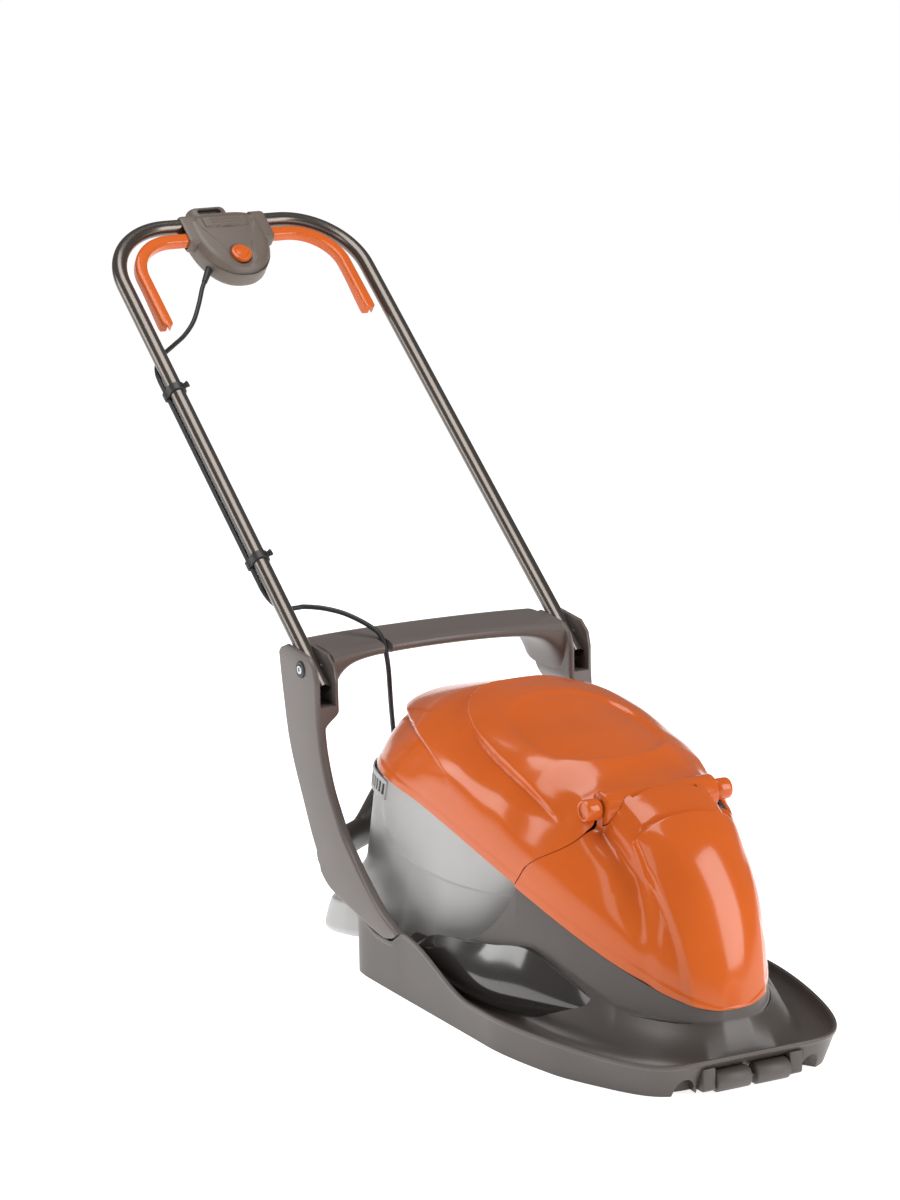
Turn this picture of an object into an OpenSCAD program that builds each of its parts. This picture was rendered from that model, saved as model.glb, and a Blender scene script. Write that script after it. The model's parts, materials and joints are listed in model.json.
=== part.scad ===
// Electric hover mower with a grass collector. Millimetres, ground at z = 0, front towards -Y.

/* [Hood] */
// Half width of the hood rim
hood_half_w = 202; // [195:1:215]
// Distance from the hood's middle to its front rim
hood_front_len = 268; // [258:1:280]
// Distance from the hood's middle to its rear edge
hood_rear_len = 330; // [320:1:338]
// Thickness of the hood moulding
hood_wall = 3; // [2.5:0.25:4]
// Height of the rim at the front
rim_z = 43; // [38:1:48]
// Height of the tray floor inside the rim
floor_z = 26; // [24:0.5:28]

/* [Body] */
// How far the body at the seam of the covers stays inside the hood rim
body_margin = 42; // [40:1:52]
// Length of the body in front of its widest place
body_front_len = 514; // [505:1:518]
// Length of the body behind its widest place
body_rear_len = 176; // [168:1:184]
// Wall of the orange covers
cover_wall = 3; // [2:0.25:4]
// Wall of the grass box
box_wall = 2.5; // [2:0.25:4]
// Radius of the rolled front edge of the lid about its hinge
barrel_r = 20.5; // [20:0.1:20.8]

/* [Yoke] */
// How far the yoke arms stand out past the hood rim
yoke_proud = 2; // [1:0.5:5]
// Thickness of one fork cheek
cheek_t = 6; // [4:0.5:6]
// Width of the fork channel that takes the tube
channel_w = 22; // [21.6:0.1:22]
// Gap between the grass box and the yoke arms
arm_clear = 7; // [4:0.5:10]
// Depth of the fork channel below the pivot
channel_depth = 42; // [40:1:50]

/* [Handle] */
// Outside diameter of the handle tube
tube_d = 21; // [19:0.5:21.4]
// Wall of the handle tube
tube_wall = 1.5; // [1:0.25:2.5]
// Distance of the grip bar from the pivot along the tube
grip_v = 782; // [740:1:800]
// Bend radius of the tube
bend_r = 100; // [90:1:105]
// Slope of the handle above the horizontal
handle_slope = 37.5; // [34:0.5:40]
// Diameter of the handle pivot bolts
bolt_d = 8; // [6:0.5:9]

/* [Cutter] */
// Gap between the blade's tips and the skirt of the hood
blade_clear = 29; // [25:1:40]
// Height of the blade above the ground
blade_z = 12; // [11:0.5:13]
// Motor can radius
motor_r = 52; // [45:1:56]
// Motor shaft diameter
shaft_d = 12; // [10:0.5:14]

/* [Rollers] */
// Radius of the front rollers
roller_r = 13; // [11:0.5:13.4]
// Length of one roller
roller_len = 47; // [40:1:48]
// Diameter of the roller axle
axle_d = 6; // [5:0.5:7]

/* [Fits] */
// Gap between pieces that sit against each other
seat_gap = 0.3; // [0.2:0.05:0.5]
// Radial running clearance of pins and shafts
run_gap = 0.06; // [0.03:0.01:0.09]

/* [Hidden] */
$fn = 48;
hood_mid_y = -100;
body_mid_y = 184;
pivot_y = 362;
body_half_w = hood_half_w - body_margin;
yoke_outer_x = hood_half_w + yoke_proud;
arm_in_x = yoke_outer_x - 2 * cheek_t - channel_w;
box_half_w = arm_in_x - arm_clear;
tube_spacing = 2 * (yoke_outer_x - cheek_t) - channel_w;
pivot_z = 361;
hood_col = [0.39, 0.36, 0.34];
orange = [0.84, 0.39, 0.16];
grey = [0.75, 0.75, 0.75];
dark = [0.2, 0.2, 0.2];
steel = [0.7, 0.7, 0.72];
rings_n = 80;
rear_edge_z = 30;
dome_end_y = -70;
dome_low_z = 64;
dome_fall = 65;
side_in = 20;
bead_h = 2.5;
axle_y = -360;
roller_z = roller_r + 0.5;
roller_split = 7;
ear_t = 5;
ear_x = roller_split / 2 + roller_len + 1;
arch_n = 30;

function lerp(a, b, t) = a + (b - a) * t;
function ease(t) = let (c = max(0, min(1, t))) c * c * (3 - 2 * c);
function bez(a, b, c, t) = (1 - t) * (1 - t) * a + 2 * t * (1 - t) * b + t * t * c;
function superr(ca, sa, a, b, n) = 1 / pow(pow(abs(ca) / a, n) + pow(abs(sa) / b, n), 1 / n);

// Smooth curve through a list of points, t from 0 to 1
function spline(p, t) =
    let (m = len(p) - 1, s = min(t * m, m - 1e-6), i = floor(s), u = s - i,
         a = p[max(i - 1, 0)], b = p[i], c = p[i + 1], d = p[min(i + 2, m)])
    0.5 * (2 * b + (c - a) * u + (2 * a - 5 * b + 4 * c - d) * u * u
        + (3 * b - a - 3 * c + d) * u * u * u);

// Closed rings joined into one solid; wrap joins the last ring to the first
module skin(rings, wrap = false) {
    n = len(rings[0]);
    m = len(rings);
    last = wrap ? m - 1 : m - 2;
    sides = [for (i = [0:last], j = [0:n - 1])
        let (a = i * n + j, b = i * n + (j + 1) % n,
             d = ((i + 1) % m) * n + j, c = ((i + 1) % m) * n + (j + 1) % n)
        each [[a, c, b], [a, d, c]]];
    caps = wrap ? [] : [[for (j = [0:n - 1]) j], [for (j = [n - 1:-1:0]) (m - 1) * n + j]];
    polyhedron([for (r = rings) each r], concat(sides, caps), convexity = 8);
}

// Outline of the body at the seam: half width at y, less an inset
function body_w(y, inset = 0) =
    let (l = (y < body_mid_y ? body_front_len : body_rear_len) - inset,
         q = min(abs(y - body_mid_y) / l, 1))
    (body_half_w - inset) * pow(max(1 - pow(q, 2.2), 0), 1 / 2.2);
function seam_z(y) = 84 + 166 * (1 - pow(1 - max(0, min(1, (y + 327) / 602)), 1.6));
// Distance from the hood's middle to the body outline along a direction, by halving
function body_reach(a, lo = 100, hi = 520, k = 18) = k == 0 ? (lo + hi) / 2 :
    let (r = (lo + hi) / 2, out = abs(r * cos(a)) > body_w(hood_mid_y + r * sin(a)))
    out ? body_reach(a, lo, r, k - 1) : body_reach(a, r, hi, k - 1);

// Reach of the rim, reach of the dome, flare at its foot, height of its top and of the rim, wall set-back
function hood_vals(a) =
    let (rear = sin(a) > 0,
         ro = superr(cos(a), sin(a), hood_half_w, rear ? hood_rear_len : hood_front_len, rear ? 9 : 2.3),
         side = abs(ro * cos(a)),
         yo = hood_mid_y + ro * sin(a),
         z_side = rim_z + 36 * ease((yo + 60) / 170) - 22 * ease((yo - 107) / 50)
                  + 16 * ease((yo - 160) / 70),
         zr = rear ? lerp(rear_edge_z, z_side, ease((side - 172) / 26)) : z_side,
         ri = min(body_reach(a), ro - 40),
         yi = hood_mid_y + ri * sin(a),
         flare = min(rear ? 6 : 6 + 18 * abs(sin(a)), ro - ri - 28),
         top = lerp(dome_low_z, seam_z(dome_end_y) - seat_gap, exp((dome_end_y - yi) / dome_fall)),
         zt = yi < dome_end_y ? seam_z(yi) - seat_gap
              : lerp(rear_edge_z, top, ease((200 - yi) / 60)),
         set = side_in + (rear ? 0 : 23 * ease((74 - side) / 10)))
    [ro, ri, flare, zt, zr, set];
// Distance to the inside of the dome wall at a height
function dome_inside(a, z) =
    let (v = hood_vals(a), zm = lerp(floor_z, v[3], 0.42) - hood_wall, zf = floor_z - hood_wall)
    v[1] - hood_wall
        + v[2] * (z > zm ? 0.55 * (v[3] - z) / (v[3] - zm) : lerp(1, 0.55, (z - zf) / (zm - zf)));
// One cross-section of the hood, outside to inside and back underneath
function hood_ring(a) =
    let (v = hood_vals(a), ro = v[0], ri = v[1], flare = v[2], zt = v[3], zr = v[4], set = v[5],
         w = hood_wall,
         zm = lerp(floor_z, zt, 0.42),
         p = [[ro - set, bead_h - 0.5], [ro - 2, zr - 6], [ro, zr], [ro - 5, zr],
              [ro - 9, lerp(zr, floor_z, 0.5)],
              [ro - 16, floor_z + 2], [ri + flare + 4, floor_z], [ri + flare, floor_z + 3],
              [ri + flare * 0.55, zm], [ri, zt], [ri - w, zt],
              [ri + flare * 0.55 - w, zm - w], [ri + flare - w, floor_z - w],
              [ro - set - w, floor_z - w], [ro - set - w, bead_h - 0.5]])
    [for (q = p) [q[0] * cos(a), hood_mid_y + q[0] * sin(a), q[1]]];
function hood_outline(grow) = [for (i = [0:rings_n - 1]) let (a = 360 * i / rings_n, v = hood_vals(a))
    [(v[0] - v[5] + grow) * cos(a), hood_mid_y + (v[0] - v[5] + grow) * sin(a)]];

// Ear that carries one end of the roller axle
module roller_ear(x) {
    translate([x, 0, 0]) rotate([90, 0, 90]) linear_extrude(ear_t) difference() {
        polygon([[axle_y - 8, roller_z - 6], [axle_y - 5, roller_z - 9], [axle_y + 5, roller_z - 9],
                 [axle_y + 30, 4], [axle_y + 30, floor_z - 2], [axle_y, rim_z - 12],
                 [axle_y - 8, roller_z + 6]]);
        translate([axle_y, roller_z]) circle(d = axle_d);
    }
}
module hood() {
    color(hood_col) place() {
        union() {
            skin([for (i = [rings_n - 1:-1:0]) hood_ring(360 * i / rings_n)], true);
            linear_extrude(bead_h) difference() {
                polygon(hood_outline(0.6));
                polygon(hood_outline(-hood_wall - 0.6));
            }
            for (x = [-ear_x - ear_t, ear_x]) roller_ear(x);
        }
    }
}

module place() translate([0, -y_mid, 0]) children();

// Top line of the covers at x = 0, from the nose tip to the rear lip
top_line = [[-329, 84], [-318, 140], [-292, 205], [-256, 256], [-226, 282], [-187, 300], [-161, 309],
            [-100, 321], [0, 340], [120, 356], [200, 350], [286, 330], [334, 314], [353, 288], [358, 258]];
cut_t = 6 / 14;
function top_at(t, inset) =
    let (p = spline(top_line, t),
         d = spline(top_line, min(t + 0.01, 1)) - spline(top_line, max(t - 0.01, 0)),
         n = [d[1], -d[0]] / norm(d))
    p + inset * n;
// Foot of an arch on the seam: angle 0 at the nose, 180 at the rear
function foot_at(b, inset) =
    let (reach = b < 90 ? inset - body_front_len : body_rear_len - inset,
         y = body_mid_y + reach * pow(abs(cos(b)), 2 / 2.2))
    [(body_half_w - inset) * pow(sin(b), 2 / 2.2), y, seam_z(y)];
foot_first = 3;
foot_cut = 63;
foot_last = 174;
// Point of the smooth covers: t from the nose to the rear, u from one seam over the top to the other
function arch_base(t, u, inset) =
    let (b = t < cut_t ? lerp(foot_first, foot_cut, pow(max(t, 0) / cut_t, 1.15))
             : lerp(foot_cut, foot_last, pow((t - cut_t) / (1 - cut_t), 0.9)),
         f = foot_at(b, inset), a = top_at(max(t, 0.04), inset), c = cos(u),
         h = pow(max(sin(u), 0), 2 / 2.4))
    [f[0] * sign(c) * pow(abs(c), 2 / 2.4), lerp(f[1], a[0], h), lerp(f[2], a[1], h)];
function arch_normal(t, u) =
    let (e = 0.004, tt = max(0.05, min(1 - e, t)), uu = max(1, min(179, u)))
    unit(cross(arch_base(tt + e, uu, 0) - arch_base(tt - e, uu, 0),
               arch_base(tt, uu + 0.8, 0) - arch_base(tt, uu - 0.8, 0)));
// The seam between cover and lid swings forward on the flanks
seam_swing = 0.036;
function cut_at(u) = let (side = abs(u - 90))
    cut_t - seam_swing * ease((side - 28) / 14) * ease((82 - side) / 34);

// Raised panel on the lid with a shallow dish, and the hollow under the lip round its rear
panel_w = 118;
panel_mid_y = -60;
panel_rear_y = 176;
panel_h = 9;
dish_depth = 4.5;
lip_depth = 10;
lip_t = 0.832;
function lid_relief(p, t, side) =
    let (x = abs(p[0]), y = p[1], q = max(0, min(1, (y - panel_mid_y) / (panel_rear_y - panel_mid_y))),
         inside = min(panel_w * pow(1 - q * q * q, 1 / 3) - x, (panel_rear_y - y) * 0.9),
         panel = panel_h * ease((y + 128) / 70) * ease((1 - t) / 0.1) * (ease((inside + 3) / 13) - 0.42),
         r = pow(pow(x / 88, 2.4) + pow(abs(y - 8) / 98, 2.4), 1 / 2.4),
         dish = dish_depth * ease((1 - r) / 0.16) * (0.35 + 0.65 * ease((100 - y) / 60))
                * ease((y + 110) / 60),
         line = t < 0.55 ? lerp(90, 67, ease((t - 0.5) / 0.05))
                : lerp(67, 43, (min(t, 0.807) - 0.55) / 0.257),
         under = max(0, (t - lip_t) / (1 - lip_t)),
         beside = max(0, min(1, (side - line) / (90.1 - line))),
         k = 1 - (1 - under) * (1 - beside))
    panel - dish - lip_depth * ease((t - 0.52) / 0.22) * ease(k / 0.1) * pow(max(1 - k, 0), 0.9);
// Bulge on the nose, the collar behind it and a pocket on each flank
nose_h = 7;
nose_end_t = 0.307;
collar_h = 3.5;
pocket_depth = 11;
function cover_relief(p, t) =
    let (x = abs(p[0]), half = lerp(40, 72, ease(t / 0.27)),
         nose = nose_h * ease((t - 0.06) / 0.16) * ease((min(half - x, (nose_end_t - t) * 900) + 2) / 12),
         collar = collar_h * ease((t - 0.3) / 0.02) * ease((cut_t - t) / 0.04) * ease((66 - x) / 14),
         far = (x - lerp(76, 90, ease((t - 0.2) / 0.16))) / 12,
         pocket = pocket_depth * exp(-far * far) * ease((t - 0.19) / 0.09) * ease((0.425 - t) / 0.05))
    nose + collar - pocket;
// One row of a cover: k is its place between the ends, on the lid or on the front cover
function arch_row(k, inset, on_lid) = [for (j = [0:arch_n])
    let (u = 180 * j / arch_n,
         t = on_lid ? lerp(cut_at(u) + cut_gap_t, 1, k) : lerp(0, cut_at(u) - cut_gap_t, k),
         p = arch_base(t, u, 0), side = abs(u - 90),
         d = on_lid ? lid_relief(p, t, side) : cover_relief(p, t))
    arch_base(t, u, inset) + d * arch_normal(t, u)];

// Shell between an outer and an inner grid of arches, open below and at one end
module arch_shell(out, ins, open_first) {
    m = len(out);
    n = len(out[0]);
    o = m * n;
    pts = concat([for (r = out) each r], [for (r = ins) each r]);
    quads = [for (i = [0:m - 2], j = [0:n - 2]) let (a = i * n + j)
        each [[a, a + 1, a + n + 1], [a, a + n + 1, a + n],
              [o + a, o + a + n + 1, o + a + 1], [o + a, o + a + n, o + a + n + 1]]];
    rims = [for (i = [0:m - 2]) let (a = i * n, b = a + n - 1)
        each [[a, a + n, o + a + n], [a, o + a + n, o + a], [b, o + b + n, b + n], [b, o + b, o + b + n]]];
    e = open_first ? 0 : (m - 1) * n;
    lip = [for (j = [0:n - 2]) let (a = e + j)
        each open_first ? [[a, o + a, o + a + 1], [a, o + a + 1, a + 1]]
                        : [[a, o + a + 1, o + a], [a, a + 1, o + a + 1]]];
    k = open_first ? (m - 1) * n : 0;
    ends_out = [for (j = [0:n - 1]) k + j];
    ends_in = [for (j = [n - 1:-1:0]) o + k + j];
    foot = [k, k + n - 1, o + k + n - 1, o + k];
    flip = open_first;
    caps = [flip ? ends_out : [for (j = [n - 1:-1:0]) ends_out[j]],
            flip ? ends_in : [for (j = [n - 1:-1:0]) ends_in[j]],
            flip ? foot : [for (j = [3:-1:0]) foot[j]]];
    polyhedron(pts, concat(quads, rims, lip, caps), convexity = 8);
}

cover_n = 22;
lid_n = 34;
cut_gap_t = 0.004;
hinge_y = -152;
hinge_z = 291;
pin_d = 9;
knuckle_r = 13;
knuckle_in = 76;
knuckle_x = body_half_w - knuckle_in;
knuckle_w = 17;
ear_w = 8;
barrel_x = knuckle_x - ear_w - 1;
module hinge_bar(d, x0, x1) {
    for (k = [-1, 1]) translate([k * x0, hinge_y, hinge_z]) rotate([0, 90 * k, 0])
        cylinder(d = d, h = x1 - x0);
}
module front_cover() {
    color(orange) place() difference() {
        union() {
            arch_shell([for (i = [0:cover_n]) arch_row(i / cover_n, 0, false)],
                       [for (i = [0:cover_n]) arch_row(i / cover_n, cover_wall, false)], false);
            for (x = [-knuckle_x + seat_gap, knuckle_x - ear_w - seat_gap])
                translate([x, 0, 0]) rotate([90, 0, 90]) linear_extrude(ear_w) ear_shape();
        }
        hinge_bar(2 * knuckle_r + 2, knuckle_x - seat_gap, knuckle_x + 60);
        hinge_bar(pin_d, knuckle_x - ear_w - 2, knuckle_x);
        hinge_bar(2 * barrel_r + 2, 0, barrel_x + 1);
    }
}
// Web inside the front cover that carries a hinge pin
module ear_shape() {
    translate([hinge_y, hinge_z]) circle(r = pin_d / 2 + 4);
    polygon([[hinge_y - 40, hinge_z - 30], [hinge_y - 34, hinge_z + 2], [hinge_y, hinge_z + 7],
             [hinge_y + 2, hinge_z - 8]]);
}

module lid() {
    color(orange) place() difference() {
        union() {
            arch_shell([for (i = [0:lid_n]) arch_row(i / lid_n, 0, true)],
                       [for (i = [0:lid_n]) arch_row(i / lid_n, cover_wall, true)], true);
            hinge_bar(2 * knuckle_r, knuckle_x, knuckle_x + knuckle_w);
            lid_barrel();
        }
        hinge_bar(pin_d + 12, barrel_x + 0.5, knuckle_x - 0.1);
        hinge_bar(pin_d + 2 * run_gap, knuckle_x - 1, knuckle_x + knuckle_w - 3);
        hinge_bar(14, knuckle_x + knuckle_w - 2, knuckle_x + knuckle_w + 20);
    }
}
// Rolled front edge that tucks under the front cover
module lid_barrel() {
    translate([-barrel_x, hinge_y, hinge_z]) rotate([90, 0, 90]) linear_extrude(2 * barrel_x) intersection() {
        difference() {
            circle(r = barrel_r, $fn = 96);
            circle(r = barrel_r - cover_wall, $fn = 96);
        }
        polygon(concat([[0, 0]], [for (a = [62:10:162]) 60 * [cos(a), sin(a)]]));
    }
}
module lid_hinge_pins() {
    color(steel) place() hinge_bar(pin_d, knuckle_x - ear_w - seat_gap, knuckle_x + knuckle_w - 4);
}

// Grass box: rings from the floor up to the seam
box_front_top = -82;
box_front_low = 24;
box_rear_low = 383;
box_floor_front = 68;
box_floor_rear = 12;
lid_seat = 0.9;
// Lower rear corners of the box, which spread out under the yoke arms
tail_out = 13;
tail_y = 252;
tail_k = 0.23;
function box_pt(a, k, inset, lift) =
    let (c = cos(a), s = sin(a), n = s > 0 ? lerp(8, 2.6, ease(k / 0.45)) : 3.4,
         yf = lerp(box_front_low, box_front_top, k) + inset,
         yr = lerp(box_rear_low, body_mid_y + body_rear_len - 6, k) - inset,
         ym = lerp(230, body_mid_y, k),
         y = ym + (s > 0 ? yr - ym : ym - yf) * sign(s) * pow(abs(s), 2 / n),
         w = min(lerp(box_half_w, body_half_w, k) - inset,
                 body_w(y) - hood_wall - 0.6 - inset + 14 * ease((y - 200) / 50)),
         wr = lerp(box_half_w, body_half_w - 4, k) - inset,
         tail = tail_out * ease((y - tail_y) / 30) * ease((tail_k - k) / 0.1),
         x = (s > 0 ? (wr + tail) * pow(abs(c), 2 / n) : min(wr * pow(abs(c), 2 / n), w)) * sign(c),
         q = (y - box_front_low) / (box_rear_low - box_front_low),
         zl = lerp(box_floor_front, box_floor_rear, q) + lift)
    [x, y, lerp(zl, seam_z(y) - lid_seat, k)];
function box_ring(k, inset, lift) = [for (i = [0:47]) box_pt(360 * i / 48, k, inset, lift)];
// Share of the height of each ring, and how far the rounded foot draws it in
box_steps = [0, 0.03, 0.1, 0.16, 0.24, 0.4, 0.6, 1];
function box_foot(k) = k == 0 ? 14 : k < 0.05 ? 5 : 0;
module grass_box() {
    color(grey) place() difference() {
        skin([for (k = box_steps) box_ring(k, box_foot(k), 0)]);
        skin([for (k = box_steps) [for (p = box_ring(k, box_wall + box_foot(k), 3))
            k == 1 ? p + [0, 0, 1] : p]]);
    }
}

// Band of upright slots round the back of the box
vent_n = 40;
vent_low = 0.78;
vent_high = 0.96;
module vent_grille() {
    rings = [for (i = [0:vent_n]) let (a = lerp(24, 156, i / vent_n), t = i % 4 < 2 ? 2 : 1)
        [box_pt(a, vent_low, -seat_gap, 0), box_pt(a, vent_low, -seat_gap - t, 0),
         box_pt(a, vent_high, -seat_gap - t, 0), box_pt(a, vent_high, -seat_gap, 0)]];
    color(dark) place() skin([for (i = [vent_n:-1:0]) rings[i]]);
}

// Leaf-shaped glossy blister from the flank of the dome down to the tray, along the turn of the hood
scoop_n = 23;
scoop_rear_a = 12 * 360 / rings_n;
scoop_front_a = scoop_rear_a - scoop_n * 360 / rings_n;
scoop_col = [0.18, 0.17, 0.17];
scoop_tip_z = 66;
scoop_gap = 0.7;
scoop_top_z = 110;
function dome_outside(a, z) =
    let (v = hood_vals(a), zm = lerp(floor_z, v[3], 0.42))
    v[1] + v[2] * (z > zm ? 0.55 * max(0, (v[3] - z) / (v[3] - zm))
                          : lerp(1, 0.55, (z - floor_z) / (zm - floor_z)));
function scoop_ring(t) =
    let (a = lerp(scoop_rear_a, scoop_front_a, t), v = hood_vals(a),
         f = pow(sin(180 * lerp(0.02, 0.98, t)), 0.8),
         z_low = lerp(floor_z + 3, scoop_tip_z - 6, ease((t - 0.7) / 0.3)),
         z_top = max(z_low + 6, min(lerp(lerp(50, scoop_tip_z, t), scoop_top_z, f), v[3] - 14)),
         d_top = dome_outside(a, z_top) + scoop_gap, d_low = dome_outside(a, z_low) + scoop_gap,
         b = max(3, min(34 * f, v[0] - 19 - d_low)))
    [for (q = [[d_low, z_low], [d_low + b, z_low], [d_low + b * 0.97, lerp(z_low, z_top, 0.3)],
               [lerp(d_top, d_low + b, 0.75), lerp(z_low, z_top, 0.65)],
               [lerp(d_top, d_low + b, 0.4), lerp(z_low, z_top, 0.9)], [d_top + 2.5, z_top], [d_top, z_top]])
        [q[0] * cos(a), hood_mid_y + q[0] * sin(a), q[1]]];
module air_scoop_right() {
    color(scoop_col) place() skin([for (i = [0:scoop_n]) scoop_ring(i / scoop_n)]);
}
module air_scoop_left() {
    color(scoop_col) place() mirror([1, 0, 0]) skin([for (i = [0:scoop_n]) scoop_ring(i / scoop_n)]);
}

// Side view of a yoke arm: its front and rear edges, and the lower edge that runs on to the tip
arm_front = [[322, 350], [290, 190], [107, 84]];
arm_rear = [[426, 372], [400, 200], [322, 104]];
arm_foot = [[322, 104], [231, 81], [160, 66], [128, 72], [112, 80]];
arm_top = [[[344, 380], [404, 385]], [[328, 368], [421, 378]]];
arm_knee = 0.55;
arm_n = 30;
function arm_pair(s) = [bez(arm_front[0], arm_front[1], arm_front[2], s),
    s < arm_knee ? bez(arm_rear[0], arm_rear[1], arm_rear[2], s / arm_knee)
                 : spline(arm_foot, (s - arm_knee) / (1 - arm_knee))];
// Section of the arm between a front and a rear point, with rounded edges
function arm_ring(f, r) =
    let (c = min(4, norm(r - f) / 3), d = c * unit(r - f), xi = arm_in_x, xo = yoke_outer_x)
    [for (q = [[xi, f + d], [xi, r - d], [xi + c, r], [xo - c, r], [xo, r - d], [xo, f + d], [xo - c, f],
               [xi + c, f]]) [q[0], q[1][0], q[1][1]]];
foot_size = [10, 30, 54];
foot_y = 132;
module arm() {
    difference() {
        skin([for (q = concat(arm_top, [for (i = [0:arm_n]) arm_pair(i / arm_n)])) arm_ring(q[0], q[1])]);
        translate([arm_in_x + cheek_t, pivot_y - 120, pivot_z - channel_depth]) cube([channel_w, 240, 120]);
        translate([arm_in_x - 1, pivot_y, pivot_z]) rotate([0, 90, 0]) cylinder(d = bolt_d, h = 60);
    }
    translate([arm_in_x + 2, foot_y, floor_z + 2 + seat_gap]) cube(foot_size);
}
module yoke_arm_right() { color([0.5, 0.46, 0.45]) place() arm(); }
module yoke_arm_left() { color([0.5, 0.46, 0.45]) place() mirror([1, 0, 0]) arm(); }

// Flat bar between the arms, arched below, with a notch for the cable
bar_rear_y = 455;
gusset = 34;
nut_t = 6;
nut_d = bolt_d * 1.7;
notch_x = -80;
notch_y = 374;
function bar_ring(x) =
    let (q = x / arm_in_x, e = pow(abs(q), 6), yf = 362 - 27 * q * q, yr = bar_rear_y - 10 * q * q,
         ym = (yf + yr) / 2,
         h = (yr - yf) / 2, t = 9 + 9 * e, zc = 374 - 8 * e, g = gusset * pow(abs(q), 14))
    [for (i = [0:15]) let (a = 22.5 * i) [x, ym + h * sign(cos(a)) * pow(abs(cos(a)), 0.7),
        zc + (sin(a) < 0 ? t + g : t) * sign(sin(a)) * pow(abs(sin(a)), 0.7)]];
module yoke_crossbar() {
    color([0.5, 0.46, 0.45]) place() difference() {
        skin([for (i = [0:18]) bar_ring(lerp(-arm_in_x, arm_in_x, i / 18))]);
        translate([notch_x, notch_y, 300]) cylinder(r = 6, h = 120);
        translate([notch_x - 6, notch_y - 40, 300]) cube([12, 40, 120]);
        for (k = [-1, 1]) translate([k * (arm_in_x - nut_t - 2), pivot_y, pivot_z]) rotate([0, 90 * k, 0])
            cylinder(d = nut_d + 2, h = 20);
    }
}
module handle_pivot_bolts() {
    color(steel) place() for (k = [-1, 1])
    translate([k * (arm_in_x - nut_t), pivot_y, pivot_z]) rotate([0, 90 * k, 0]) {
        cylinder(d = bolt_d, h = yoke_outer_x - arm_in_x + nut_t + 2);
        cylinder(d = nut_d, h = nut_t, $fn = 6);
        translate([0, 0, nut_t + yoke_outer_x - arm_in_x])
            cylinder(d1 = bolt_d * 2, d2 = bolt_d * 1.7, h = 4);
    }
}

// Round bar that arches behind the box from arm to arm
bar_d = 25;
bar_clear = 28.5;
bar_r = box_half_w + bar_clear + bar_d / 2;
bar_mid_y = box_rear_low + 37 - bar_r;
bar_end_z = 175;
bar_tilt = 8;
bar_turn = 112;
module rear_bar() {
    color(hood_col) place() intersection() {
        translate([0, bar_mid_y + bar_turn, bar_end_z]) rotate([bar_tilt, 0, 0]) translate([0, -bar_turn, 0])
            rotate_extrude($fn = 96) translate([bar_r, 0]) circle(d = bar_d);
        translate([-arm_in_x, 250, 0]) cube([2 * arm_in_x, 400, 400]);
    }
}
gland_x = -40;
gland_seat = 0.75;
gland_reach = sqrt(bar_r * bar_r - gland_x * gland_x) - bar_turn;
gland_y = bar_mid_y + bar_turn + gland_reach * cos(bar_tilt);
gland_z = bar_end_z + gland_reach * sin(bar_tilt) + bar_d / 2 + gland_seat;
gland_h = 22;
module cable_gland() {
    color(dark) place() translate([gland_x, gland_y, gland_z]) difference() {
        union() {
            cylinder(d = 16, h = 5);
            cylinder(d1 = 13, d2 = 9, h = gland_h);
        }
        translate([0, 0, -1]) cylinder(d = cord_d, h = gland_h + 2);
    }
}

// Motor on its plate, blade and impeller on its shaft
axis_y = -165;
blade_len = 2 * (hood_half_w - side_in - hood_wall - blade_clear);
plate_z = 66;
plate_t = 4;
can_h = 116;
bearing_h = 9;
module on_axis(z) translate([0, axis_y, z]) children();
module motor_plate() {
    color(dark) place() difference() {
        translate([0, 0, plate_z]) linear_extrude(plate_t) intersection() {
            polygon([for (i = [0:rings_n - 1])
                let (a = 360 * i / rings_n, r = dome_inside(a, plate_z + plate_t) - 0.8)
                [r * cos(a), hood_mid_y + r * sin(a)]]);
            translate([-300, -400]) square([600, 400 + box_front_low - 8]);
        }
        on_axis(plate_z - 1) cylinder(r = 24, h = plate_t + 2);
    }
}
can_z = plate_z + plate_t;
module motor_can() {
    color([0.3, 0.3, 0.32]) place() on_axis(can_z) difference() {
        union() {
            cylinder(r = motor_r + 10, h = 5);
            cylinder(r = motor_r, h = can_h - 6);
            translate([0, 0, can_h - 6]) cylinder(r1 = motor_r, r2 = motor_r - 6, h = 6);
        }
        translate([0, 0, -1]) cylinder(r = 22, h = can_h + 2);
    }
}
module motor_bearings() {
    color(steel) place() for (z = [can_z, can_z + can_h - bearing_h]) on_axis(z) difference() {
        cylinder(r = 22, h = bearing_h);
        translate([0, 0, -1]) cylinder(d = shaft_d + 2 * run_gap, h = bearing_h + 2);
    }
}
module motor_screws() {
    color(steel) place() for (i = [0:3]) on_axis(can_z + 5) rotate(45 + 90 * i) translate([motor_r + 5, 0, 0])
        cylinder(d = 8, h = 4, $fn = 6);
}
impeller_z = 38;
impeller_r = 96;
module motor_shaft() {
    color(steel) place() on_axis(blade_z + 3) difference() {
        cylinder(d = shaft_d, h = can_z + can_h + 4 - blade_z - 3);
        translate([0, 0, -1]) cylinder(d = 6, h = 21);
    }
}
module impeller() {
    color(dark) place() on_axis(impeller_z) difference() {
        union() {
            cylinder(r = 20, h = 22);
            translate([0, 0, 19]) cylinder(r = impeller_r, h = 3);
            for (i = [0:7]) rotate(45 * i) translate([16, -1.5, 3]) cube([impeller_r - 17, 3, 17]);
        }
        translate([0, 0, -1]) cylinder(d = shaft_d, h = 30);
    }
}
module blade_spacer() {
    color([0.6, 0.6, 0.2]) place() on_axis(blade_z + 3) difference() {
        cylinder(r = 17, h = impeller_z - blade_z - 3);
        translate([0, 0, -1]) cylinder(d = shaft_d, h = 60);
    }
}
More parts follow.
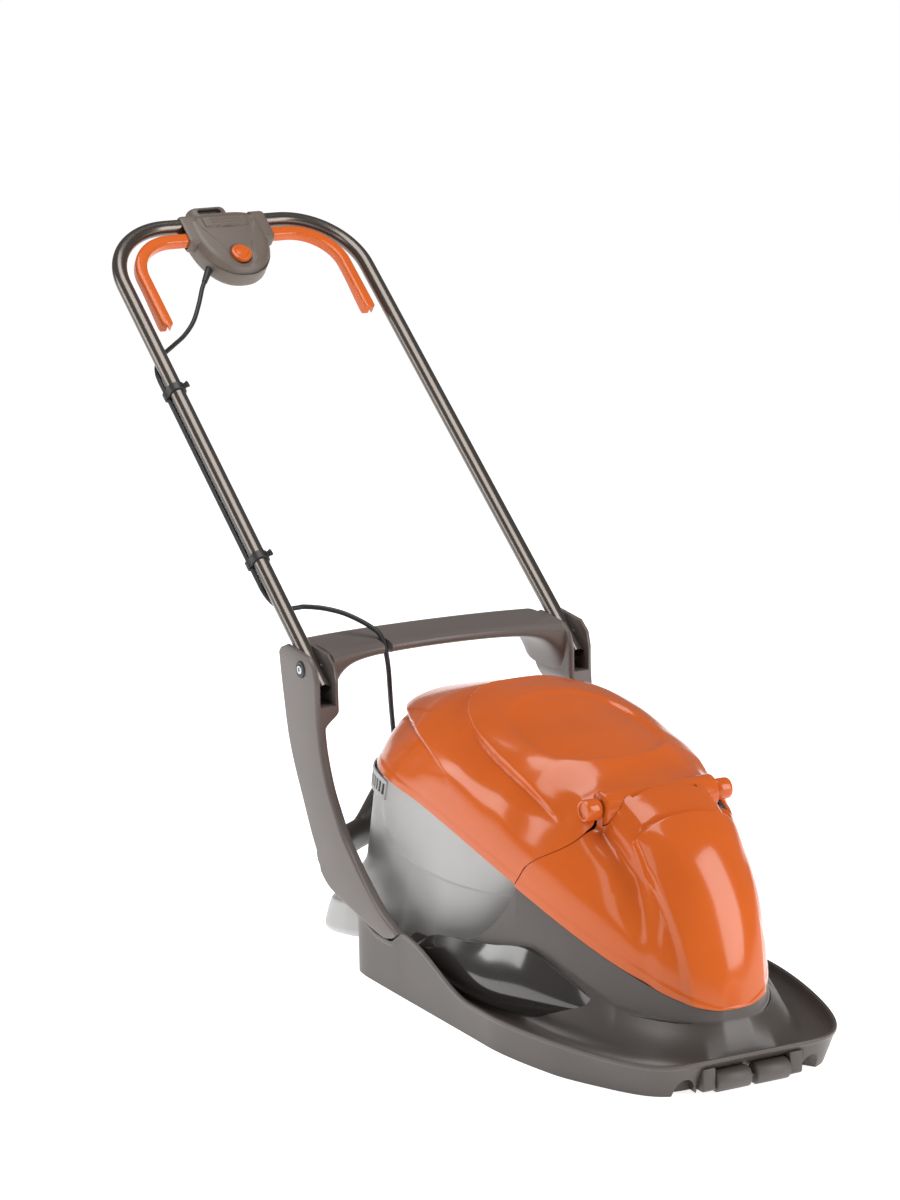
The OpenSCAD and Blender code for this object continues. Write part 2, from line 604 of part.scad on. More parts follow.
module blade() {
    color(steel) place() on_axis(blade_z) linear_extrude(3) difference() {
        intersection() {
            circle(d = blade_len, $fn = 96);
            polygon([[-160, -8], [-100, -22], [0, -24], [100, -24], [160, -20], [160, 8], [100, 22], [0, 24],
                     [-100, 24], [-160, 20]]);
        }
        circle(d = 6);
        for (x = [-11, 11]) translate([x, 0]) circle(d = 4);
    }
}
module blade_bolt() {
    color([0.25, 0.25, 0.27]) place() on_axis(blade_z - 7) {
        cylinder(r = 10, h = 7, $fn = 6);
        cylinder(d = 6, h = 7 + 3 + 18);
    }
}

module roller_axle() {
    color(steel) place() translate([-ear_x - ear_t, axle_y, roller_z]) rotate([0, 90, 0])
        cylinder(d = axle_d, h = 2 * (ear_x + ear_t));
}
module roller(x) {
    color([0.3, 0.28, 0.27]) place() translate([x, axle_y, roller_z]) rotate([0, 90, 0]) difference() {
        union() {
            translate([0, 0, 2]) cylinder(r = roller_r, h = roller_len - 4);
            cylinder(r1 = roller_r - 2, r2 = roller_r, h = 2);
            translate([0, 0, roller_len - 2]) cylinder(r1 = roller_r, r2 = roller_r - 2, h = 2);
        }
        translate([0, 0, -1]) cylinder(d = axle_d + 2 * run_gap, h = roller_len + 2);
    }
}
module front_roller_left() { roller(-roller_split / 2 - roller_len); }
module front_roller_right() { roller(roller_split / 2); }

// Handle frame: x across, v along the tube from the pivot, w up and forward from the tube
module on_handle() place() translate([0, pivot_y, pivot_z]) rotate([handle_slope, 0, 0]) children();
tail_v = -36;
half_span = tube_spacing / 2;
module u_tube(r, extra) {
    for (k = [-1, 1]) {
        translate([k * half_span, tail_v - extra, 0]) rotate([-90, 0, 0])
            cylinder(r = r, h = grip_v - bend_r - tail_v + extra);
        translate([k * (half_span - bend_r), grip_v - bend_r, 0]) rotate(k > 0 ? 0 : 90)
            rotate_extrude(angle = 90, $fn = 96) translate([bend_r, 0]) circle(r = r, $fn = 48);
    }
    translate([-half_span + bend_r, grip_v, 0]) rotate([0, 90, 0])
        cylinder(r = r, h = tube_spacing - 2 * bend_r);
}
module handle_tube() {
    color([0.41, 0.38, 0.36]) on_handle() difference() {
        u_tube(tube_d / 2, 0);
        u_tube(tube_d / 2 - tube_wall, 1);
        translate([-half_span - 20, 0, 0]) rotate([0, 90, 0])
            cylinder(d = bolt_d + 2 * run_gap, h = tube_spacing + 40);
    }
}
clip_v = [178, 478];
cord_dx = -10;
cord_dw = -10;
module cable_clips() {
    color(dark) on_handle() for (v = clip_v) translate([-half_span, v, 0]) rotate([-90, 0, 0]) difference() {
        union() {
            cylinder(d = tube_d + 5, h = 12);
            translate([cord_dx, -cord_dw, 0]) cylinder(d = cord_d + 5, h = 12);
            translate([8, -14.5, 2]) cube([5, 8, 8]);
        }
        translate([0, 0, -1]) cylinder(d = tube_d + 0.1, h = 14);
        translate([cord_dx, -cord_dw, -1]) cylinder(d = cord_d + 0.4, h = 14);
    }
}

// Switch box in two shells either side of the tube
sb_half_w = 58;
sb_mid_v = 772;
sb_up = 25;
sb_back_up = 32;
sb_down = 92;
sb_front_w = 14.5;
sb_rear_w = 27;
sb_wall = 3;
function sb_ring(w, ins, up) = [for (i = [0:47])
    let (a = 7.5 * i, c = cos(a), s = sin(a), n = s > 0 ? 4 : 2.3)
    [(sb_half_w - ins) * sign(c) * pow(abs(c), 2 / n),
     sb_mid_v + ((s > 0 ? up : sb_down) - ins) * sign(s) * pow(abs(s), 2 / n), w]];
lever_v = 755;
lever_x = 42;
button_v = 713;
button_r = 13.5;
module box_cuts() {
    translate([-100, grip_v, 0]) rotate([0, 90, 0]) cylinder(d = tube_d + 0.2, h = 200);
    for (k = [-1, 1]) translate([k * 52 - 18, lever_v - 13, -9.5]) cube([36, 26, 19]);
}
module switch_box_front() {
    color([0.45, 0.42, 0.39]) on_handle() difference() {
        skin([sb_ring(0.15, 0, sb_up), sb_ring(sb_front_w - 6, 1, sb_up), sb_ring(sb_front_w - 2, 5, sb_up),
              sb_ring(sb_front_w, 11, sb_up)]);
        skin([sb_ring(0, sb_wall, sb_up), sb_ring(sb_front_w - 8, sb_wall + 1, sb_up),
              sb_ring(sb_front_w - 4, 11, sb_up)]);
        box_cuts();
        translate([0, button_v, sb_front_w - 8]) cylinder(r = button_r + seat_gap, h = 60);
    }
}
inlet_x = -12;
inlet_w = -13.5;
inlet_r = 12;
inlet_top_v = 818;
inlet_half = 8;
inlet_deep = 10;
inlet_len = inlet_top_v - sb_mid_v - sb_back_up + 9;
inlet_bore = 9;
module switch_box_rear() {
    color([0.45, 0.42, 0.39]) on_handle() difference() {
        skin([sb_ring(-sb_rear_w, 11, sb_back_up), sb_ring(-sb_rear_w + 3, 4, sb_back_up),
              sb_ring(-sb_rear_w + 9, 0, sb_back_up), sb_ring(-0.15, 0, sb_back_up)]);
        skin([sb_ring(-sb_rear_w + 4, 10, sb_back_up), sb_ring(-sb_rear_w + 10, sb_wall, sb_back_up),
              sb_ring(0, sb_wall, sb_back_up)]);
        box_cuts();
        translate([inlet_x, sb_mid_v, inlet_w]) rotate([-90, 0, 0])
            linear_extrude(60) oval(inlet_half, inlet_r + 0.1);
        along_cable(0) cylinder(r = sleeve_r + 0.1, h = sleeve_len);
    }
}
// Long oval across x, middle at the origin
module oval(half, r) {
    for (k = [-1, 1]) translate([k * half, 0]) circle(r = r);
    square([2 * half, 2 * r], center = true);
}
module mains_inlet() {
    color(dark) on_handle()
    translate([inlet_x, inlet_top_v - inlet_len, inlet_w]) rotate([-90, 0, 0]) difference() {
        linear_extrude(inlet_len) oval(inlet_half, inlet_r);
        translate([0, 0, inlet_len - inlet_deep]) linear_extrude(inlet_deep + 1) difference() {
            oval(inlet_half, inlet_r - 3);
            circle(d = inlet_bore + 4);
        }
        translate([0, 0, 6]) cylinder(d = inlet_bore, h = 60);
    }
}
module switch_box_screws() {
    color(steel) on_handle() for (p = [[0, 716], [-34, 782], [34, 782]])
        translate([p[0], p[1], -sb_rear_w - 2]) cylinder(d = 7, h = 2);
}
module switch_unit() {
    color(dark) on_handle() translate([-17, button_v - 13, -sb_rear_w + 4.3]) cube([34, 26, sb_rear_w - 4.8]);
}
module start_button() {
    color(orange) on_handle() translate([0, button_v, 0]) {
        translate([0, 0, sb_front_w - 9]) cylinder(r = button_r + 2.5, h = 2.5);
        translate([0, 0, sb_front_w - 7]) cylinder(r = button_r, h = 8);
        translate([0, 0, sb_front_w + 1]) cylinder(r1 = button_r, r2 = button_r - 2, h = 1.5);
    }
}
module lever_pins() {
    color(steel) on_handle() for (k = [-1, 1]) translate([k * lever_x, lever_v, -sb_rear_w + 4.3])
        cylinder(d = 6, h = sb_rear_w + sb_front_w - 8.6);
}
// Channel section of a squeeze lever, middle at the origin
module lever_section() {
    difference() {
        polygon([[-9, -7], [-7, -8], [7, -8], [9, -7], [9, 5], [6, 8], [-6, 8], [-9, 5]]);
        translate([-6.5, -9]) square([13, 14]);
    }
}
lever_r = 66;
lever_cx = half_span - bend_r + 2;
lever_tip_v = 600;
module lever() {
    difference() {
        union() {
            translate([lever_x, lever_v, -8]) cylinder(r = 9, h = 16);
            translate([lever_x, lever_v, 0]) rotate([90, 0, 90])
                linear_extrude(lever_cx - lever_x) lever_section();
            translate([lever_cx, lever_v - lever_r, 0]) rotate_extrude(angle = 90, $fn = 96)
                translate([lever_r, 0]) lever_section();
            translate([lever_cx + lever_r, lever_v - lever_r, 0]) rotate([90, 0, 0])
                linear_extrude(lever_v - lever_r - lever_tip_v) lever_section();
            translate([lever_cx + lever_r, lever_tip_v, -8]) linear_extrude(16)
                polygon([[-9, 26], [-10, 4], [-6, -4], [2, -8], [9, -6], [11, 0], [9, 14], [9, 26]]);
        }
        translate([lever_x, lever_v, -20]) cylinder(d = 6 + 2 * run_gap, h = 40);
    }
}
module lever_right() { color(orange) on_handle() lever(); }
module lever_left() { color(orange) on_handle() mirror([1, 0, 0]) lever(); }

// Cable: its upper run in the handle frame, its lower run from the tube to the gland
cord_d = 6.5;
cord_upper_pts = [[-38, 719, -9], [-47, 706, -12], [-56, 693, -15], [-65, 680, -18], [-79, 655, -23],
    [-97, 628, -27], [-119, 606, -28], [-143, 588, -26], [-166, 570, -22], [-184, 550, -17.5],
    [-193, 532, -13], [-197, 515, -10], [-197, 490, -10], [-197, 440, -10], [-197, 380, -10],
    [-197, 320, -10], [-197, 260, -10], [-197, 192, -10], [-197, 160, -10], [-195, 141, -12.5],
    [-189, 126, -16], [-179, 115, -18], [-170, 112, -18], [-165, 112, -18], [-160, 112, -18]];
// Point of the handle frame in the mower's frame
function from_handle(p) = [p[0], pivot_y + p[1] * cos(handle_slope) - p[2] * sin(handle_slope),
    pivot_z + p[1] * sin(handle_slope) + p[2] * cos(handle_slope)];
cord_join = from_handle(cord_upper_pts[len(cord_upper_pts) - 1]);
cord_lower_pts = [cord_join, cord_join + [5, 0, 0], cord_join + [14, 0, 0], [-126, 451, 413],
    [-108, 431, 409], [-96, 410, 403],
    [-87, 391, 396], [-82, 378, 389], [-80, 369, 377], [-79, 364, 361], [-77, 363, 343], [-72, 369, 318],
    [-62, 384, 290], [-50, 402, 262], [-42, 413, 240], [gland_x, gland_y, gland_z + gland_h]];
function path(p, n) = [for (i = [0:n]) spline(p, i / n)];
module cord_run(p, n, up) {
    c = path(p, n);
    skin([for (i = [0:n])
        let (t = unit(c[min(i + 1, n)] - c[max(i - 1, 0)]), a = unit(cross(up, t)), b = cross(t, a))
        [for (j = [0:7]) c[i] + cord_d / 2 * (cos(45 * j) * a + sin(45 * j) * b)]]);
}
function unit(v) = v / norm(v);
module cord_upper() { color(dark) on_handle() cord_run(cord_upper_pts, 44, [0, 0, 1]); }
module cord_lower() { color(dark) place() cord_run(cord_lower_pts, 30, [0.6, 0.6, 0.53]); }
// Places a piece along the cable where it leaves the switch box
module along_cable(z) {
    d = unit(cord_upper_pts[1] - cord_upper_pts[0]);
    translate(cord_upper_pts[0]) rotate([0, acos(d[2]), atan2(d[1], d[0])]) translate([0, 0, z]) children();
}
sleeve_r = 5;
sleeve_len = 36;
module cable_sleeve() {
    color(dark) on_handle() along_cable(0) difference() {
        union() {
            cylinder(r = sleeve_r, h = sleeve_len / 2);
            translate([0, 0, sleeve_len / 2]) cylinder(r1 = sleeve_r, r2 = sleeve_r - 1, h = sleeve_len / 2);
        }
        translate([0, 0, -1]) cylinder(d = cord_d + 0.2, h = sleeve_len + 2);
    }
}

// Middle of the whole length, which is moved to y = 0
y_front = axle_y - roller_r;
y_rear = pivot_y + inlet_top_v * cos(handle_slope) + (inlet_r - inlet_w) * sin(handle_slope);
y_mid = (y_front + y_rear) / 2;

hood();
front_cover();
lid();
lid_hinge_pins();
grass_box();
vent_grille();
air_scoop_left();
air_scoop_right();
yoke_arm_left();
yoke_arm_right();
yoke_crossbar();
handle_pivot_bolts();
rear_bar();
cable_gland();
motor_plate();
motor_can();
motor_bearings();
motor_screws();
motor_shaft();
impeller();
blade_spacer();
blade();
blade_bolt();
roller_axle();
front_roller_left();
front_roller_right();
handle_tube();
cable_clips();
switch_box_front();
switch_box_rear();
switch_box_screws();
switch_unit();
mains_inlet();
cable_sleeve();
lever_left();
lever_right();
lever_pins();
start_button();
cord_upper();
cord_lower();
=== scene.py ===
"""Looks of an electric hover mower: finer shells, materials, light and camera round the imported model."""
import json
import math

import bmesh
import bpy
import numpy as np
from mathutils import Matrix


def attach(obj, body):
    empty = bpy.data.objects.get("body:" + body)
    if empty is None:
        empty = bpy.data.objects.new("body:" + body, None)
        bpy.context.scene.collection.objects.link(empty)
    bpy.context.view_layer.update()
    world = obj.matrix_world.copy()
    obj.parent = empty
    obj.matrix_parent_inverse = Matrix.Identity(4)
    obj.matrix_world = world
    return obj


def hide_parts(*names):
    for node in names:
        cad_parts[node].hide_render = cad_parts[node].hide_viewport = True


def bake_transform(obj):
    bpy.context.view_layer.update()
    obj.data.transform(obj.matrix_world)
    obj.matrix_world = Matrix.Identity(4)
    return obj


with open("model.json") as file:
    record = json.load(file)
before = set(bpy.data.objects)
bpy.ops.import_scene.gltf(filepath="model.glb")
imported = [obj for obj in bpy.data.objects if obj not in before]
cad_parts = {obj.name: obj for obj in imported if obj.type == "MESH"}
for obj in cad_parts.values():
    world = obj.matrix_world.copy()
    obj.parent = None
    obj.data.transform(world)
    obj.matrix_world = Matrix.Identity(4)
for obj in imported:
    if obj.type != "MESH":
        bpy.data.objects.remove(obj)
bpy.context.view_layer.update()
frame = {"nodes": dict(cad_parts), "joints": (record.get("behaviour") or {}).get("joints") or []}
NODES = frame["nodes"]
JOINTS = {j["name"]: j for j in frame["joints"]}

# Places and sizes in millimetres, in the mower's own frame: ground at z = 0, front towards -y
PIVOT_Y = 362
PIVOT_Z = JOINTS["handle_fold"]["pos_m"][2] * 1000
Y_MID = PIVOT_Y - JOINTS["handle_fold"]["pos_m"][1] * 1000
HANDLE_SLOPE = math.radians(37.5)


# Small mathematics
def lerp(a, b, t):
    """Straight mix of a and b."""
    return a + (b - a) * t


def ease(t):
    """Smooth step from 0 to 1."""
    c = max(0.0, min(1.0, t))
    return c * c * (3 - 2 * c)


def power(value, n):
    """Signed power, for superellipses."""
    return math.copysign(abs(value) ** n, value)


def table(points, t):
    """Straight-line reading of a short list of (t, value)."""
    if t <= points[0][0]:
        return points[0][1]
    for (t0, a), (t1, b) in zip(points, points[1:]):
        if t <= t1:
            return lerp(a, b, (t - t0) / (t1 - t0))
    return points[-1][1]


def spline(points, t):
    """Smooth curve through points, t from 0 to 1."""
    last = len(points) - 1
    s = min(t * last, last - 1e-6)
    i = int(s)
    u = s - i
    a = points[max(i - 1, 0)]
    b = points[i]
    c = points[i + 1]
    d = points[min(i + 2, last)]
    square = (2 * a - 5 * b + 4 * c - d) * u * u
    cube = (3 * b - a - 3 * c + d) * u ** 3
    return 0.5 * (2 * b + (c - a) * u + square + cube)


def line_of(*points):
    """Points as arrays, for a spline."""
    return [np.array(p, float) for p in points]


def steps(a, b, n):
    """Values from a to b in n equal steps, both ends included."""
    return [lerp(a, b, i / n) for i in range(n + 1)]


def ellipse(a, b, n):
    return [(a * math.cos(math.tau * k / n), b * math.sin(math.tau * k / n)) for k in range(n)]


def bezier(a, b, c, t):
    """Curve from a to c, drawn towards b."""
    return (1 - t) ** 2 * a + 2 * t * (1 - t) * b + t * t * c


def unit(v):
    return v / np.linalg.norm(v)


# The most of a side that a rounded corner may take
CORNER_SHARE = 0.48


def fillet(points, radii, parts=4):
    """Closed polygon with its corners rounded by short curves."""
    out = []
    n = len(points)
    for i in range(n):
        p = np.array(points[i], float)
        a = np.array(points[i - 1], float) - p
        b = np.array(points[(i + 1) % n], float) - p
        ra = min(radii[i], CORNER_SHARE * np.linalg.norm(a))
        rb = min(radii[i], CORNER_SHARE * np.linalg.norm(b))
        start = p + unit(a) * ra
        end = p + unit(b) * rb
        out += [bezier(start, p, end, k / parts) for k in range(parts + 1)]
    return out


def from_handle(p):
    """Point of the handle's frame (x across, v along the tube, w up from it) in the mower's frame."""
    c = math.cos(HANDLE_SLOPE)
    s = math.sin(HANDLE_SLOPE)
    return np.array([p[0], PIVOT_Y + p[1] * c - p[2] * s, PIVOT_Z + p[1] * s + p[2] * c])


def metres(p):
    """Point of the mower's frame in the model's frame."""
    return (p[0] / 1000, (p[1] - Y_MID) / 1000, p[2] / 1000)


# Meshes
# A direction that no turned piece has as its axis
ASKEW = (0.3, 0.5, 0.8)
# Turn between two faces, in degrees, from which an edge is bevelled
BEVEL_FROM = 35


class Shape:
    """Vertices and faces in millimetres, gathered from grids, sweeps and turned profiles."""

    def __init__(self, place=None):
        self.verts = []
        self.faces = []
        self.place = place or (lambda p: p)

    def grid(self, rows, wrap_rows=False, wrap_cols=False, cap_first=False, cap_last=False):
        """Rows of points joined by four-sided faces."""
        base = len(self.verts)
        n = len(rows[0])
        m = len(rows)
        for row in rows:
            self.verts += [metres(self.place(p)) for p in row]
        for i in range(m if wrap_rows else m - 1):
            for j in range(n if wrap_cols else n - 1):
                a = base + i * n + j
                b = base + i * n + (j + 1) % n
                c = base + ((i + 1) % m) * n + (j + 1) % n
                d = base + ((i + 1) % m) * n + j
                self.faces.append((a, b, c, d))
        if cap_first:
            self.faces.append(tuple(base + j for j in range(n - 1, -1, -1)))
        if cap_last:
            self.faces.append(tuple(base + (m - 1) * n + j for j in range(n)))
        return self

    def loft(self, rings):
        """Closed rings joined one to the next, with both ends shut."""
        return self.grid(rings, wrap_cols=True, cap_first=True, cap_last=True)

    def sweep(self, centres, section, up):
        """A closed section carried along a line of points; section is (side, up) pairs."""
        points = line_of(*centres)
        last = len(points) - 1
        rings = []
        for i, c in enumerate(points):
            t = unit(points[min(i + 1, last)] - points[max(i - 1, 0)])
            a = unit(np.cross(up, t))
            b = np.cross(t, a)
            rings.append([c + (s * a + h * b) for s, h in section])
        return self.loft(rings)

    def block(self, low, high):
        """An upright box between two corners."""
        (x0, y0, z0), (x1, y1, z1) = low, high
        return self.loft([[(x0, y0, z), (x1, y0, z), (x1, y1, z), (x0, y1, z)] for z in (z0, z1)])

    def turned(self, profile, origin, axis, sides=48, caps=True):
        """A profile of (distance along the axis, radius) turned about an axis."""
        t = unit(np.array(axis, float))
        a = unit(np.cross(t, ASKEW))
        b = np.cross(t, a)
        start = np.array(origin, float)
        circle = ellipse(1, 1, sides)
        rows = [[start + d * t + r * (c * a + s * b) for c, s in circle] for d, r in profile]
        return self.grid(rows, wrap_cols=True, cap_first=caps, cap_last=caps)


def mesh_object(name, shape):
    """A shape as an object with joined points and outward faces."""
    mesh = bpy.data.meshes.new(name)
    mesh.from_pydata([tuple(map(float, v)) for v in shape.verts], [], shape.faces)
    obj = bpy.data.objects.new(name, mesh)
    bpy.context.scene.collection.objects.link(obj)
    clean = bmesh.new()
    clean.from_mesh(mesh)
    bmesh.ops.remove_doubles(clean, verts=clean.verts, dist=1e-6)
    bmesh.ops.recalc_face_normals(clean, faces=clean.faces)
    clean.to_mesh(mesh)
    clean.free()
    return obj


def piece(name, shape, finish, body, replaces=(), smooth_angle=40, wall=0, bevel=0, cuts=()):
    """One visible piece from a shape: given its wall, cuts and edges, dressed and put on its body."""
    obj = mesh_object(name, shape)
    cutters = [mesh_object(name + "_cut", cut) for cut in cuts]
    bpy.ops.object.select_all(action="DESELECT")
    bpy.context.view_layer.objects.active = obj
    obj.select_set(True)
    if wall:
        solid = obj.modifiers.new("wall", "SOLIDIFY")
        solid.thickness = wall / 1000
        solid.offset = -1
        solid.use_even_offset = True
    for cutter in cutters:
        cut = obj.modifiers.new("cut", "BOOLEAN")
        cut.operation = "DIFFERENCE"
        cut.object = cutter
        cut.solver = "EXACT"
    if bevel:
        edge = obj.modifiers.new("edges", "BEVEL")
        edge.width = bevel / 1000
        edge.segments = 3
        edge.limit_method = "ANGLE"
        edge.angle_limit = math.radians(BEVEL_FROM)
    for modifier in list(obj.modifiers):
        bpy.ops.object.modifier_apply(modifier=modifier.name)
    for cutter in cutters:
        bpy.data.objects.remove(cutter)
    bpy.ops.object.shade_smooth_by_angle(angle=math.radians(smooth_angle))
    obj.select_set(False)
    obj.data.materials.append(finish)
    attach(obj, body)
    if replaces:
        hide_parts(*replaces)
    return obj


# Materials
COAT_ROUGH = 0.08
ROUGH_SPREAD = 0.12
GRAIN_DEPTH = 0.0006


def material(name, colour, rough, metal=0.0, coat=0.0, grain=900, bump=0.05, vary=0.06, blotch=14,
             stretch=(1, 1, 1), spec=0.5):
    """Moulded plastic, paint or metal: a cloudy base colour, fine grain in roughness and bump."""
    mat = bpy.data.materials.new(name)
    mat.use_nodes = True
    tree = mat.node_tree
    shader = tree.nodes["Principled BSDF"]
    shader.inputs["Metallic"].default_value = metal
    shader.inputs["Coat Weight"].default_value = coat
    shader.inputs["Specular IOR Level"].default_value = spec
    shader.inputs["Coat Roughness"].default_value = COAT_ROUGH
    where = tree.nodes.new("ShaderNodeTexCoord")
    mapping = tree.nodes.new("ShaderNodeMapping")
    mapping.inputs["Scale"].default_value = stretch
    tree.links.new(where.outputs["Object"], mapping.inputs["Vector"])
    cloud = tree.nodes.new("ShaderNodeTexNoise")
    cloud.inputs["Scale"].default_value = blotch
    cloud.inputs["Detail"].default_value = 5
    ramp = tree.nodes.new("ShaderNodeValToRGB")
    ramp.color_ramp.elements[0].position = 0.3
    ramp.color_ramp.elements[1].position = 0.7
    ramp.color_ramp.elements[0].color = [c * (1 - vary) for c in colour] + [1]
    ramp.color_ramp.elements[1].color = [min(1, c * (1 + vary)) for c in colour] + [1]
    tree.links.new(mapping.outputs["Vector"], cloud.inputs["Vector"])
    tree.links.new(cloud.outputs["Fac"], ramp.inputs["Fac"])
    tree.links.new(ramp.outputs["Color"], shader.inputs["Base Color"])
    fine = tree.nodes.new("ShaderNodeTexNoise")
    fine.inputs["Scale"].default_value = grain
    fine.inputs["Detail"].default_value = 3
    tree.links.new(mapping.outputs["Vector"], fine.inputs["Vector"])
    spread = tree.nodes.new("ShaderNodeMapRange")
    spread.inputs["To Min"].default_value = rough * (1 - ROUGH_SPREAD)
    spread.inputs["To Max"].default_value = rough * (1 + ROUGH_SPREAD)
    tree.links.new(fine.outputs["Fac"], spread.inputs["Value"])
    tree.links.new(spread.outputs["Result"], shader.inputs["Roughness"])
    relief = tree.nodes.new("ShaderNodeBump")
    relief.inputs["Strength"].default_value = bump
    relief.inputs["Distance"].default_value = GRAIN_DEPTH
    tree.links.new(fine.outputs["Fac"], relief.inputs["Height"])
    tree.links.new(relief.outputs["Normal"], shader.inputs["Normal"])
    return mat


HOOD = material("hood_moulding", (0.074, 0.061, 0.054), 0.38, grain=1500, bump=0.10)
YOKE = material("yoke_moulding", (0.124, 0.102, 0.093), 0.36, grain=1500, bump=0.10)
ORANGE = material("orange_gloss", (0.60, 0.112, 0.016), 0.17, coat=0.25, grain=40, bump=0.006, vary=0.05,
                  blotch=9, spec=0.25)
BOX = material("box_moulding", (0.42, 0.41, 0.405), 0.36, grain=1300, bump=0.08, vary=0.04)
GLOSS = material("dark_gloss", (0.036, 0.032, 0.030), 0.13, coat=0.7, grain=40, bump=0.004)
BLACK = material("black_moulding", (0.016, 0.016, 0.017), 0.45, grain=1400, bump=0.10)
SWITCH = material("switch_moulding", (0.130, 0.102, 0.083), 0.46, grain=1700, bump=0.14)
STEEL = material("bright_steel", (0.55, 0.55, 0.57), 0.28, metal=1.0, grain=700, bump=0.06,
                 stretch=(1, 1, 12))
MOTOR = material("motor_paint", (0.035, 0.035, 0.038), 0.5, grain=600, bump=0.2)
TUBE = material("tube_paint", (0.120, 0.103, 0.090), 0.25, metal=0.75, coat=0.3, grain=60, bump=0.004,
                vary=0.04)
CORD = material("cord_rubber", (0.014, 0.014, 0.015), 0.5, grain=1500, bump=0.12)
ROLLER = material("roller_moulding", (0.085, 0.072, 0.064), 0.5, grain=1300, bump=0.15)

# Camera at the photograph's viewing angle, and a long lens
CAMERA_AT = (-2.4672, -3.9846 - Y_MID / 1000, 1.6164)
CAMERA_TURN = (76.617, 0, -29.708)
camera = bpy.data.objects.new("camera", bpy.data.cameras.new("camera"))
bpy.context.scene.collection.objects.link(camera)
camera.location = CAMERA_AT
camera.rotation_euler = [math.radians(a) for a in CAMERA_TURN]
camera.data.lens = 120
camera.data.sensor_width = 36
camera.data.clip_end = 50
bpy.context.scene.camera = camera
bpy.context.scene.view_settings.view_transform = "Standard"

# Cable from the switch box along the left tube, over the crossbar and down to its gland
CORD_D = 6.5
CORD_UPPER = [(-38, 719, -9), (-47, 706, -12), (-56, 693, -15), (-65, 680, -18), (-79, 655, -23),
              (-97, 628, -27), (-119, 606, -28), (-143, 588, -26), (-166, 570, -22), (-184, 550, -17.5),
              (-193, 532, -13), (-197, 515, -10), (-197, 490, -10), (-197, 440, -10), (-197, 380, -10),
              (-197, 320, -10), (-197, 260, -10), (-197, 192, -10), (-197, 160, -10), (-195, 141, -12.5),
              (-189, 126, -16), (-179, 115, -18), (-170, 112, -18), (-165, 112, -18), (-160, 112, -18)]
CORD_JOIN = from_handle(CORD_UPPER[-1])
CORD_LOWER = [CORD_JOIN + (5, 0, 0), CORD_JOIN + (14, 0, 0), (-126, 451, 413), (-108, 431, 409),
              (-96, 410, 403), (-87, 391, 396), (-82, 378, 389), (-80, 369, 377), (-79, 364, 361),
              (-77, 363, 343), (-72, 369, 318), (-62, 384, 290), (-50, 402, 262), (-42, 413, 240),
              (-40, 415.2, 222.5)]
# A direction that the cable never takes
CORD_ASKEW = (0.45, 0.62, 0.64)


def cable():
    points = [from_handle(p) for p in CORD_UPPER] + line_of(*CORD_LOWER)
    line = [spline(points, t) for t in steps(0, 1, 400)]
    tube = Shape().sweep(line, ellipse(CORD_D / 2, CORD_D / 2, 14), CORD_ASKEW)
    obj = piece("cable", tube, CORD, "base", ("cord_upper", "cord_lower"), smooth_angle=80)
    obj.parent = None
    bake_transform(obj)


cable()

# Covers: arches from the seam over a top line, with raised and sunk forms along the normal
BODY_HALF_W = 160
BODY_MID_Y = 184
BODY_FRONT_LEN = 514
BODY_REAR_LEN = 176
BODY_N = 2.2
SEAM_FRONT_Y = -327
SEAM_FRONT_Z = 84
SEAM_LEN = 602
SEAM_RISE = 166
SEAM_N = 1.6
TOP_LINE = line_of(
    (-329, 84), (-318, 140), (-292, 205), (-256, 256), (-226, 282), (-187, 300), (-161, 309), (-100, 321),
    (0, 340), (120, 356), (200, 350), (286, 330), (334, 314), (353, 288), (358, 258))
TOP_FIRST_T = 0.04
# Share of the top line at which the lid begins, and the angles round the body's outline where arches stand
CUT_T = 6 / 14
FOOT_FIRST = 0
FOOT_CUT = 63
FOOT_LAST = 174
FOOT_FRONT_PACE = 1.15
FOOT_REAR_PACE = 0.9
ARCH_N = 2.4
# How far the cut swings forward on the flanks
CUT_SWING = 0.036
HINGE_Y = -152
HINGE_Z = 291


def seam_z(y):
    """Height of the seam under the covers."""
    along = max(0, min(1, (y - SEAM_FRONT_Y) / SEAM_LEN))
    return SEAM_FRONT_Z + SEAM_RISE * (1 - (1 - along) ** SEAM_N)


def body_w(y):
    """Half width of the body's outline."""
    q = min(abs(y - BODY_MID_Y) / (BODY_FRONT_LEN if y < BODY_MID_Y else BODY_REAR_LEN), 1)
    return BODY_HALF_W * max(1 - q ** BODY_N, 0) ** (1 / BODY_N)


def arch_point(t, u):
    """Point of the smooth cover.

    t goes from the nose to the rear, u from one seam (0) over the top to the other (180).
    """
    if t < CUT_T:
        b = lerp(FOOT_FIRST, FOOT_CUT, (t / CUT_T) ** FOOT_FRONT_PACE)
    else:
        b = lerp(FOOT_CUT, FOOT_LAST, ((t - CUT_T) / (1 - CUT_T)) ** FOOT_REAR_PACE)
    b = math.radians(b)
    reach = -BODY_FRONT_LEN if b < math.pi / 2 else BODY_REAR_LEN
    fy = BODY_MID_Y + reach * abs(math.cos(b)) ** (2 / BODY_N)
    fx = BODY_HALF_W * math.sin(b) ** (2 / BODY_N)
    fz = seam_z(fy)
    ay, az = spline(TOP_LINE, max(t, TOP_FIRST_T))
    c = math.cos(math.radians(u))
    h = max(math.sin(math.radians(u)), 0) ** (2 / ARCH_N)
    return np.array([fx * power(c, 2 / ARCH_N), lerp(fy, ay, h), lerp(fz, az, h)])


